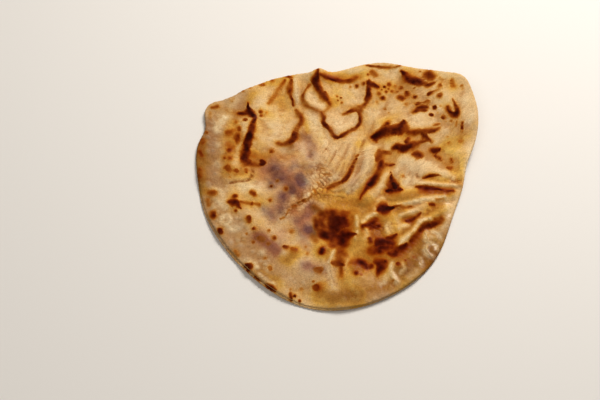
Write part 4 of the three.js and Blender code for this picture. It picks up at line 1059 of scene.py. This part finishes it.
wave = node(skin, "ShaderNodeTexNoise", {"Vector": place, "Scale": 1 / WAVE_SIZE, "Detail": 2.0})
wave = node(skin, "ShaderNodeMath", {0: wave.outputs[0], 1: NOISE_MEAN}, operation="SUBTRACT")
grain = node(skin, "ShaderNodeTexNoise", {"Vector": place, "Scale": 1 / GRAIN_SIZE, "Detail": 3.0})
grain = node(skin, "ShaderNodeMath", {0: grain.outputs[0], 1: NOISE_MEAN}, operation="SUBTRACT")
ridged = {"Vector": place, "Scale": 1 / CRINKLE_SIZE, "Detail": 3.0, "Distortion": CRINKLE_TWIST}
ridges = {"noise_type": "RIDGED_MULTIFRACTAL", "normalize": True}
crinkle = node(skin, "ShaderNodeTexNoise", ridged, **ridges).outputs[0]

turned = {"Vector": place, "Angle": CREASE_ANGLE}
turned = node(skin, "ShaderNodeVectorRotate", turned, rotation_type="Z_AXIS")
drawn_out = node(skin, "ShaderNodeVectorMath", {0: turned, 1: CREASE_SIZE}, operation="DIVIDE")
crease = {"Vector": drawn_out, "Scale": 1.0, "Detail": 2.0, "Distortion": CREASE_TWIST}
crease = node(skin, "ShaderNodeTexNoise", crease)
crease = node(skin, "ShaderNodeMath", {0: crease.outputs[0], 1: NOISE_MEAN}, operation="SUBTRACT")
crease = node(skin, "ShaderNodeMath", {0: crease, 1: shown["Creased"]}, operation="MULTIPLY")

crumbs = {"Vector": place, "Scale": 1 / CRUMB_SIZE}
crumbs = node(skin, "ShaderNodeTexVoronoi", crumbs, feature="DISTANCE_TO_EDGE")
crack = {"Value": crumbs.outputs["Distance"], "From Max": CRACK_SHARE, "To Min": 1.0, "To Max": 0.0}
crack = node(skin, "ShaderNodeMapRange", crack, clamp=True)
crack = node(skin, "ShaderNodeMath", {0: crack, 1: shown["Crumbly"]}, operation="MULTIPLY")
print(len(skin.nodes), "nodes in the skin tree, with wrinkles and cracks")

# %% [markdown]
# ## Raise the skin
#
# A flake is highest at its torn edge and falls away behind it. All the reliefs are added up and move the
# points straight up or down. At the end each point is compared with its blurred height, for painted shade:
# a hollow lies below its wider surroundings and a furrow below its nearer ones, and the material darkens
# both.

# %% Raise the skin
FLAKE_FALL = 0.35  # what is left of a flake's lip one flake length behind its edge
LIP_BEGINS, LIP_FULL = -0.5 * MM, 0.3 * MM
SUNKEN = {"hollow": (1.4 * MM, 40), "furrow": (0.45 * MM, 6)}  # the depth that counts as one, rounds of blur

off = near["Flakes"].outputs["Side"]
length_off = node(skin, "ShaderNodeMath", {0: off, 1: given["Flake Length"]}, operation="DIVIDE")
faded = node(skin, "ShaderNodeMath", {0: FLAKE_FALL, 1: length_off}, operation="POWER")
on_top = {"Value": off, "From Min": LIP_BEGINS, "From Max": LIP_FULL}
on_top = node(skin, "ShaderNodeMapRange", on_top, clamp=True)
lip = node(skin, "ShaderNodeMath", {0: faded, 1: on_top}, operation="MULTIPLY")
lip = node(skin, "ShaderNodeMath", {0: lip, 1: 1.0}, operation="MINIMUM")
lip = node(skin, "ShaderNodeMath", {0: lip, 1: near["Flakes"]}, operation="MULTIPLY")

rise = 0.0
for amount, height in (
    (shown["Burns"], "Ridge Height"),
    (shown["Spots"], "Dot Height"),
    (shown["Pale"], "Pale Height"),
    (shown["Puffs"], "Puff Height"),
    (lip, "Flake Height"),
    (shown["Grooves"], "Groove Height"),
    (shown["Folds"], "Fold Height"),
    (swell, "Blister Height"),
    (crease, "Crease Height"),
    (crack, "Crack Height"),
    (wave, "Wave Height"),
    (grain, "Grain Height"),
    (crinkle, "Crinkle Height"),
):
    part = node(skin, "ShaderNodeMath", {0: amount, 1: given[height]}, operation="MULTIPLY")
    rise = node(skin, "ShaderNodeMath", {0: rise, 1: part}, operation="ADD")
rise = node(skin, "ShaderNodeMath", {0: rise, 1: facing}, operation="MULTIPLY")
lift = node(skin, "ShaderNodeCombineXYZ", {"Z": rise})
finished_skin = node(skin, "GeometryNodeSetPosition", {"Geometry": painted, "Offset": lift})

height = node(skin, "ShaderNodeSeparateXYZ", {0: place}).outputs["Z"]
# how far each point lies below its surroundings, kept for the painted shade of hollows and furrows
for name, (depth, rounds) in SUNKEN.items():
    around = {"Value": height, "Iterations": rounds}
    around = node(skin, "GeometryNodeBlurAttribute", around, data_type="FLOAT")
    below = node(skin, "ShaderNodeMath", {0: around, 1: height}, operation="SUBTRACT")
    below = node(skin, "ShaderNodeMath", {0: below, 1: depth}, operation="DIVIDE")
    finished_skin = stored(finished_skin, name, below)
finished_skin = stored(finished_skin, "bubble", swell)
finished_skin = stored(finished_skin, "crack", crack)
real = node(skin, "GeometryNodeRealizeInstances", {"Geometry": finished_skin})
dressed = node(skin, "GeometryNodeSetMaterial", {"Geometry": real, "Material": given["Dough"]})
node(skin, "NodeGroupOutput", {"Geometry": dressed})
print("skin tree:", len(skin.nodes), "nodes")

# %% [markdown]
# ## Griddled wheat dough
#
# Dry dough is matte and pale tan, and nothing on it is even: flour, bran, ghee and heat all come in patches.
# So the material starts with noises of several sizes, in millimetres, and each finish follows one of them.
# The finest, 0.9 mm, is drawn a little coarser than real bran so that it shows.

# %% Dough material
GRAINS = {  # size in mm, and detail
    "patch": (26, 3.0),
    "marble": (16, 3.0),
    "vague": (11, 1.0),
    "blotch": (9, 3.0),
    "lobe": (5, 0.6),
    "mottle": (3.5, 3.0),
    "bran": (0.9, 3.0),
}
UNEVEN = {  # which grain a finish follows, the stretch of it that counts, and the least and most it gives
    "tone": ("patch", 0.35, 0.65, 0.0, 1.0),
    "ghee": ("marble", 0.5, 0.68, 0.0, 0.25),
    "cloud": ("blotch", 0.35, 0.62, 0.75, 1.12),
    "flour": ("mottle", 0.35, 0.65, 0.35, 1.2),
    "core": ("blotch", 0.3, 0.65, 0.76, 1.2),
    "halo": ("marble", 0.36, 0.64, 0.25, 1.3),
    "blur": ("vague", 0.36, 0.64, 0.4, 1.8),
    "fleck": ("bran", 0.3, 0.7, 0.76, 1.19),
    "roughness": ("mottle", 0.3, 0.7, 0.55, 0.72),
}


def linear(code):
    """An sRGB hex colour as linear red, green, blue and alpha."""
    channels = [int(code[i : i + 2], 16) / 255 for i in (1, 3, 5)]
    return [c / 12.92 if c <= 0.04045 else ((c + 0.055) / 1.055) ** 2.4 for c in channels] + [1.0]


dough = bpy.data.materials.new("griddled_wheat_dough")
dough.use_nodes = True
paint = dough.node_tree
paint.nodes.clear()
where = node(paint, "ShaderNodeTexCoord").outputs["Object"]
level = {}
for name in PAINTED + ["Hollow", "Furrow", "Bubble", "Crack"] + list(scorched):
    level[name] = node(paint, "ShaderNodeAttribute", attribute_name=name.lower()).outputs["Fac"]
grainy = {}
for name, (size, detail) in GRAINS.items():
    texture = {"Vector": where, "Scale": 1 / (size * MM), "Detail": detail}
    grainy[name] = node(paint, "ShaderNodeTexNoise", texture).outputs[0]
uneven = {}
for name, (grain, start, end, least, most) in UNEVEN.items():
    stretch = {"Value": grainy[grain], "From Min": start, "From Max": end, "To Min": least, "To Max": most}
    uneven[name] = node(paint, "ShaderNodeMapRange", stretch, clamp=True).outputs[0]
print(len(level), "levels read,", len(grainy), "grains,", len(uneven), "uneven finishes")

# %% [markdown]
# ## Washes on the dough
#
# Washes lie on the dough one after another. Most are glazes that multiply the colour below, so that what
# is pale stays lighter than what lies beside it. The palest ones cover instead, as dry flour and a painted
# highlight both hide what lies below. Ghee doesn't soak into dough that is dry, so pale and puffed places
# hold gold and pools off. Some washes paint light rather than the dough's colour: the mauve sheen, the
# painted shade of the tan edges, hollows, furrows, cracks and grooves, and the painted light and highlights
# among the pale and puffed places.

# %% Dough and its washes
PALE_DOUGH, TAN_DOUGH = "#D8B685", "#CAA067"
HELD_OFF = 0.9  # how much of the ghee dry dough keeps off
RICH_FROM = 0.5  # gold beyond this is deeper as well as yellower
# the most that the painted shade of a hollow and of a furrow counts
HOLLOW_SHADE_MOST, FURROW_SHADE_MOST = 0.5, 0.6


def wash(under, amount, colour, strength, blend="MIX"):
    """Lays a colour over another, or multiplies it in, as far as the amount times the strength."""
    share = node(paint, "ShaderNodeMath", {0: amount, 1: strength}, operation="MULTIPLY", use_clamp=True)
    laid = {0: share, 6: under, 7: linear(colour)}
    return node(paint, "ShaderNodeMix", laid, data_type="RGBA", blend_type=blend).outputs[2]


# pale and puffed places, some of them painted light and painted highlights
pale_puffed_and_lit = node(paint, "ShaderNodeMath", {0: level["Pale"], 1: level["Puffs"]}, operation="MAXIMUM")
drier = node(paint, "ShaderNodeMath", {0: pale_puffed_and_lit, 1: -HELD_OFF, 2: 1.0}, operation="MULTIPLY_ADD")
soaked = node(paint, "ShaderNodeMath", {0: level["Gold"], 1: drier}, operation="MULTIPLY")
soaked = node(paint, "ShaderNodeMath", {0: soaked, 1: uneven["ghee"]}, operation="ADD")
richer = node(paint, "ShaderNodeMath", {0: soaked, 1: RICH_FROM}, operation="SUBTRACT", use_clamp=True)
pooled = node(paint, "ShaderNodeMath", {0: level["Pools"], 1: drier}, operation="MULTIPLY")
hollow = node(paint, "ShaderNodeMath", {0: level["Hollow"], 1: HOLLOW_SHADE_MOST}, operation="MINIMUM")
furrow = node(paint, "ShaderNodeMath", {0: level["Furrow"], 1: FURROW_SHADE_MOST}, operation="MINIMUM")
sheen_share = node(paint, "ShaderNodeMath", {0: level["Haze"], 1: uneven["cloud"]}, operation="MULTIPLY")
smoke_and_sheen_share = node(paint, "ShaderNodeMath", {0: level["Smoke"], 1: uneven["cloud"]}, operation="MULTIPLY")
flour_and_highlights = node(paint, "ShaderNodeMath", {0: level["Puffs"], 1: uneven["flour"]}, operation="MULTIPLY")

tones = {0: uneven["tone"], 6: linear(PALE_DOUGH), 7: linear(TAN_DOUGH)}
plain = node(paint, "ShaderNodeMix", tones, data_type="RGBA").outputs[2]
WASHES = [
    # where, the colour, how strong, and how it is laid
    # pale dough, and painted light on a few shaded slopes
    (level["Pale"], "#DDC295", 0.9, "MIX"),
    (level["Bubble"], "#DFCAA5", 0.8, "MIX"),
    # tan: darker bake and painted shade, with a painted shadow at the near right edge
    (level["Tan"], "#BAA8A4", 1.0, "MULTIPLY"),
    (soaked, "#FDEDA3", 2.0, "MULTIPLY"),
    (richer, "#DDD2C8", 2.0, "MULTIPLY"),
    (pooled, "#D6AE4C", 1.0, "MULTIPLY"),
    # the next two are painted shade, darker in hollows and furrows
    (hollow, "#DCC096", 0.8, "MULTIPLY"),
    (furrow, "#D2AE86", 0.9, "MULTIPLY"),
    # darker in the sunken cracks: painted shade
    (level["Crack"], "#BC8A50", 0.8, "MULTIPLY"),
    # painted sheen: a mauve reflection of a light on the oily skin, laid into the colour
    (sheen_share, "#D0A7A8", 1.1, "MULTIPLY"),
    # darker blots of scorch with the painted sheen on them
    (smoke_and_sheen_share, "#A09FCE", 1.1, "MULTIPLY"),
    # flour on puffs, and on the painted highlights of crests and bubble rims
    (flour_and_highlights, "#E5CEA1", 0.75, "MIX"),
    # grooves darkened: painted shade between the strands
    (level["Grooves"], "#C09A72", 0.75, "MULTIPLY"),
]
for amount, colour, strength, blend in WASHES:
    plain = wash(plain, amount, colour, strength, blend)
print(len(WASHES), "washes on the dough")

# %% [markdown]
# ## Heat
#
# A scorch has a dark core with a soft, ragged edge and a halo that fades over several millimetres. Both are
# patchy, because dough never meets the iron evenly, and a wide scorch has a wider edge than a thin one.
# Strokes, dots and rust make one heat, from none to burnt. Half-done dough is stirred most by the grains.

# %% Heat of the scorch
RAGGED = {"lobe": 3.0, "mottle": 1.2, "bran": 0.8}  # how far each grain pulls at an edge, in mm
STIR = {"blotch": 2.4, "lobe": 3.6, "mottle": 1.4, "bran": 1.0}
BROADER = {"From Min": 0.6, "From Max": 5.0, "To Min": 0.45, "To Max": 1.8}  # from half width to breadth
HALO_FALL = 0.37  # what is left of a halo one fade away

ragged = 0.0
for name, reach in RAGGED.items():
    ragged = node(paint, "ShaderNodeMath", {0: grainy[name], 1: reach, 2: ragged}, operation="MULTIPLY_ADD")
mean = NOISE_MEAN * sum(RAGGED.values())
ragged = node(paint, "ShaderNodeMath", {0: ragged, 1: mean}, operation="SUBTRACT")
unpuffed = node(paint, "ShaderNodeMath", {0: 1.0, 1: pale_puffed_and_lit}, operation="SUBTRACT", use_clamp=True)


def scorch(kind, softness, fade, halo_share, evenness):
    """Heat of the nearest scorch: softness of its edge and fade of its halo, in mm, and the halo's share."""
    broad = {"Value": level[kind + "_width"], **BROADER}
    broad = node(paint, "ShaderNodeMapRange", broad, clamp=True).outputs[0]
    edge = {0: ragged, 1: broad, 2: level[kind + "_edge"]}
    edge = node(paint, "ShaderNodeMath", edge, operation="MULTIPLY_ADD")
    blurred = node(paint, "ShaderNodeMath", {0: broad, 1: softness}, operation="MULTIPLY")
    blurred = node(paint, "ShaderNodeMath", {0: blurred, 1: uneven["blur"]}, operation="MULTIPLY")
    steep = node(paint, "ShaderNodeMath", {0: edge, 1: blurred}, operation="DIVIDE")
    steep = node(paint, "ShaderNodeMath", {0: steep}, operation="EXPONENT")
    steep = node(paint, "ShaderNodeMath", {0: steep, 1: 1.0}, operation="ADD")
    core = node(paint, "ShaderNodeMath", {0: 1.0 - halo_share, 1: steep}, operation="DIVIDE")
    core = node(paint, "ShaderNodeMath", {0: core, 1: evenness}, operation="MULTIPLY")
    outside = node(paint, "ShaderNodeMath", {0: edge, 1: 0.0}, operation="MAXIMUM")
    far_off = node(paint, "ShaderNodeMath", {0: broad, 1: fade}, operation="MULTIPLY")
    outside = node(paint, "ShaderNodeMath", {0: outside, 1: far_off}, operation="DIVIDE")
    halo = node(paint, "ShaderNodeMath", {0: HALO_FALL, 1: outside}, operation="POWER")
    halo = node(paint, "ShaderNodeMath", {0: halo, 1: uneven["halo"]}, operation="MULTIPLY")
    halo = node(paint, "ShaderNodeMath", {0: halo, 1: unpuffed}, operation="MULTIPLY")
    both = node(paint, "ShaderNodeMath", {0: halo, 1: halo_share, 2: core}, operation="MULTIPLY_ADD")
    return node(paint, "ShaderNodeMath", {0: both, 1: level[kind + "_strength"]}, operation="MULTIPLY")


strokes = scorch("burn", softness=0.95, fade=2.6, halo_share=0.22, evenness=uneven["core"])
dots = scorch("spot", softness=0.75, fade=2.0, halo_share=0.18, evenness=1.06)
hottest = node(paint, "ShaderNodeMath", {0: strokes, 1: dots}, operation="MAXIMUM", use_clamp=True)
cooler = node(paint, "ShaderNodeMath", {0: 1.0, 1: hottest}, operation="SUBTRACT")
rusty = node(paint, "ShaderNodeMath", {0: level["Rust"], 1: drier}, operation="MULTIPLY")
hottest = {0: cooler, 1: rusty, 2: hottest}
hottest = node(paint, "ShaderNodeMath", hottest, operation="MULTIPLY_ADD", use_clamp=True)
cooler = node(paint, "ShaderNodeMath", {0: 1.0, 1: hottest}, operation="SUBTRACT")
half_done = node(paint, "ShaderNodeMath", {0: hottest, 1: cooler}, operation="MULTIPLY")
half_done = node(paint, "ShaderNodeMath", {0: half_done, 1: hottest}, operation="MULTIPLY")
stir = -NOISE_MEAN * sum(STIR.values())
for name, weight in STIR.items():
    stir = node(paint, "ShaderNodeMath", {0: grainy[name], 1: weight, 2: stir}, operation="MULTIPLY_ADD")
heat = {0: half_done, 1: stir, 2: hottest}
heat = node(paint, "ShaderNodeMath", heat, operation="MULTIPLY_ADD", use_clamp=True)
print(len(paint.nodes), "nodes in the dough material, with its heat")

# %% [markdown]
# ## Browning
#
# Heat turns dough gold, rust, brown and at last almost black, so one colour ramp over the heat gives burns,
# halos and dots alike. The ramp is a filter that multiplies the dough. Under a scorch the washes fade to
# one even tone first, or a dot on pale dough and one on tan dough would brown differently. Dough that is
# both hot and soaked with ghee fries to a yellower brown, and bran flecks everything.

# %% Browning
BROWNING = [
    (0.00, "#FFFFFF"),
    (0.10, "#F8ECD2"),
    (0.20, "#E9CE9C"),
    (0.32, "#CD9C54"),
    (0.45, "#AB6C2B"),
    (0.60, "#87430F"),
    (0.75, "#662909"),
    (0.88, "#4A1706"),
    (1.00, "#300D03"),
]
COVERED = {"From Min": 0.1, "From Max": 0.6, "To Max": 0.6}  # from heat to how far the even tone covers
EVEN_TONE, FRIED = "#DDB478", "#FFE08C"
FRIED_STRENGTH = 2.0

ramp = node(paint, "ShaderNodeValToRGB", {0: heat})
stops = ramp.color_ramp.elements
ready_made = len(stops)
for i, (at, code) in enumerate(BROWNING):
    stop = stops[i] if i < ready_made else stops.new(at)
    stop.position = at
    stop.color = linear(code)
covered = node(paint, "ShaderNodeMapRange", {"Value": heat, **COVERED}, clamp=True)
plain = wash(plain, covered, EVEN_TONE, 1.0)
laid = {0: 1.0, 6: plain, 7: ramp}
colour = node(paint, "ShaderNodeMix", laid, data_type="RGBA", blend_type="MULTIPLY").outputs[2]
fried = node(paint, "ShaderNodeMath", {0: heat, 1: soaked}, operation="MULTIPLY")
colour = wash(colour, fried, FRIED, FRIED_STRENGTH, "MULTIPLY")
laid = {0: 1.0, 6: colour, 7: uneven["fleck"]}
colour = node(paint, "ShaderNodeMix", laid, data_type="RGBA", blend_type="MULTIPLY").outputs[2]
print(len(BROWNING), "stops of browning")

# %% [markdown]
# ## Ghee and the surface
#
# Ghee is a clear coat. It stands on wet places and thinly in the pools, but not on what is burnt dry. The
# dough under it is matte, with a faint unevenness of pores and bran, which is all that is left to a bump.

# %% Ghee and the surface
POOL_FILM = 0.15  # how much film a pool has, beside a wet place
FILM_MOST = 0.7  # how much film unburnt dough has, at most
PORE_STRENGTH, PORE_DEPTH = 0.3, 0.4 * MM

film = {0: level["Pools"], 1: POOL_FILM, 2: level["Wet"]}
film = node(paint, "ShaderNodeMath", film, operation="MULTIPLY_ADD")
unburnt = node(paint, "ShaderNodeMath", {0: heat, 1: -FILM_MOST, 2: FILM_MOST}, operation="MULTIPLY_ADD")
film = node(paint, "ShaderNodeMath", {0: film, 1: unburnt}, operation="MULTIPLY", use_clamp=True)
pores = node(paint, "ShaderNodeMath", {0: grainy["mottle"], 1: grainy["bran"]}, operation="ADD")
bump = {"Height": pores, "Strength": PORE_STRENGTH, "Distance": PORE_DEPTH}
bump = node(paint, "ShaderNodeBump", bump)
shader = node(
    paint,
    "ShaderNodeBsdfPrincipled",
    {
        "Base Color": colour,
        "Roughness": uneven["roughness"],
        "Normal": bump,
        "IOR": 1.45,
        "Specular IOR Level": 0.02,
        "Coat Weight": film,
        "Coat Roughness": 0.28,
        "Coat IOR": 1.47,
    },
)
node(paint, "ShaderNodeOutputMaterial", {"Surface": shader})
print("dough material:", len(paint.nodes), "nodes")

# %% [markdown]
# ## Paint the bread
#
# The modifier gets its inputs by identifier, then the finished bread is read back as a plain mesh, and the
# modifier and the wires go, so that nothing is left live. The bread rides on the part's one body and
# stands in for the solid.

# %% Apply the tree
modifier = bread.modifiers.new("griddle", "NODES")
modifier.node_group = skin
identifiers = {s.name: s.identifier for s in skin.interface.items_tree if s.in_out == "INPUT"}
modifier[identifiers["Dough"]] = dough
for name, helper in wires.items():
    modifier[identifiers[name]] = helper

bpy.context.view_layer.update()
graph = bpy.context.evaluated_depsgraph_get()
finished = bpy.data.meshes.new_from_object(bread.evaluated_get(graph), depsgraph=graph)
finished.name = "paratha_skin"
bread.modifiers.clear()
bread.data = finished
finished.shade_smooth()
for helper in wires.values():
    bpy.data.objects.remove(helper)

heights = np.array([v.co.z for v in finished.vertices]) / MM
print("finished bread:", len(finished.polygons), "faces")
print("height, mm:", heights.min().round(2), "to", heights.max().round(2))

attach(bread, "root")
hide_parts("paratha")

# %% [markdown]
# ## Floor and light
#
# A pale floor and soft studio light. The main light is a panel half a metre wide, high behind the bread and
# to its right, so that its reflection lies on the oily skin and the far side is the brightest. A wider,
# weaker panel over the near left fills the folds.

# %% Floor and lights
HALF_FLOOR = 3.0
FLOOR_DROP = 0.2 * MM  # so that floor and underside don't share a plane
CARD_COLOUR, CARD_ROUGHNESS = "#DEDCD8", 0.8
PANELS = {  # place and size in metres, watts, colour
    "main_panel": ((0.45, 0.74, 1.0), 0.5, 19, "#FFF8F0"),
    "fill_panel": ((-0.5, -0.4, 1.4), 1.0, 5, "#FFF6EC"),
}
SKY_COLOUR, SKY_STRENGTH = "#FFFDFA", 0.2

floor_mesh = bpy.data.meshes.new("floor")
quarters = ((-1, -1), (1, -1), (1, 1), (-1, 1))
corners = [(x * HALF_FLOOR, y * HALF_FLOOR, -FLOOR_DROP) for x, y in quarters]
floor_mesh.from_pydata(corners, [], [(0, 1, 2, 3)])
floor = put("floor", floor_mesh)
card = bpy.data.materials.new("pale_matte_card")
card.use_nodes = True
card_shader = card.node_tree.nodes["Principled BSDF"]
card_shader.inputs["Base Color"].default_value = linear(CARD_COLOUR)
card_shader.inputs["Roughness"].default_value = CARD_ROUGHNESS
floor_mesh.materials.append(card)

for name, (place, size, watts, colour) in PANELS.items():
    light = bpy.data.lights.new(name, "AREA")
    light.size = size
    light.energy = watts
    light.color = linear(colour)[:3]
    panel = put(name, light)
    panel.location = place
    panel.rotation_euler = Vector(place).to_track_quat("Z", "Y").to_euler()

world = bpy.data.worlds.new("studio")
world.use_nodes = True
sky = world.node_tree.nodes["Background"]
sky.inputs["Color"].default_value = linear(SKY_COLOUR)
sky.inputs["Strength"].default_value = SKY_STRENGTH
bpy.context.scene.world = world
bpy.context.scene.view_settings.view_transform = "Standard"
print(len(PANELS), "panels of light over a floor", 2 * HALF_FLOOR, "m wide")
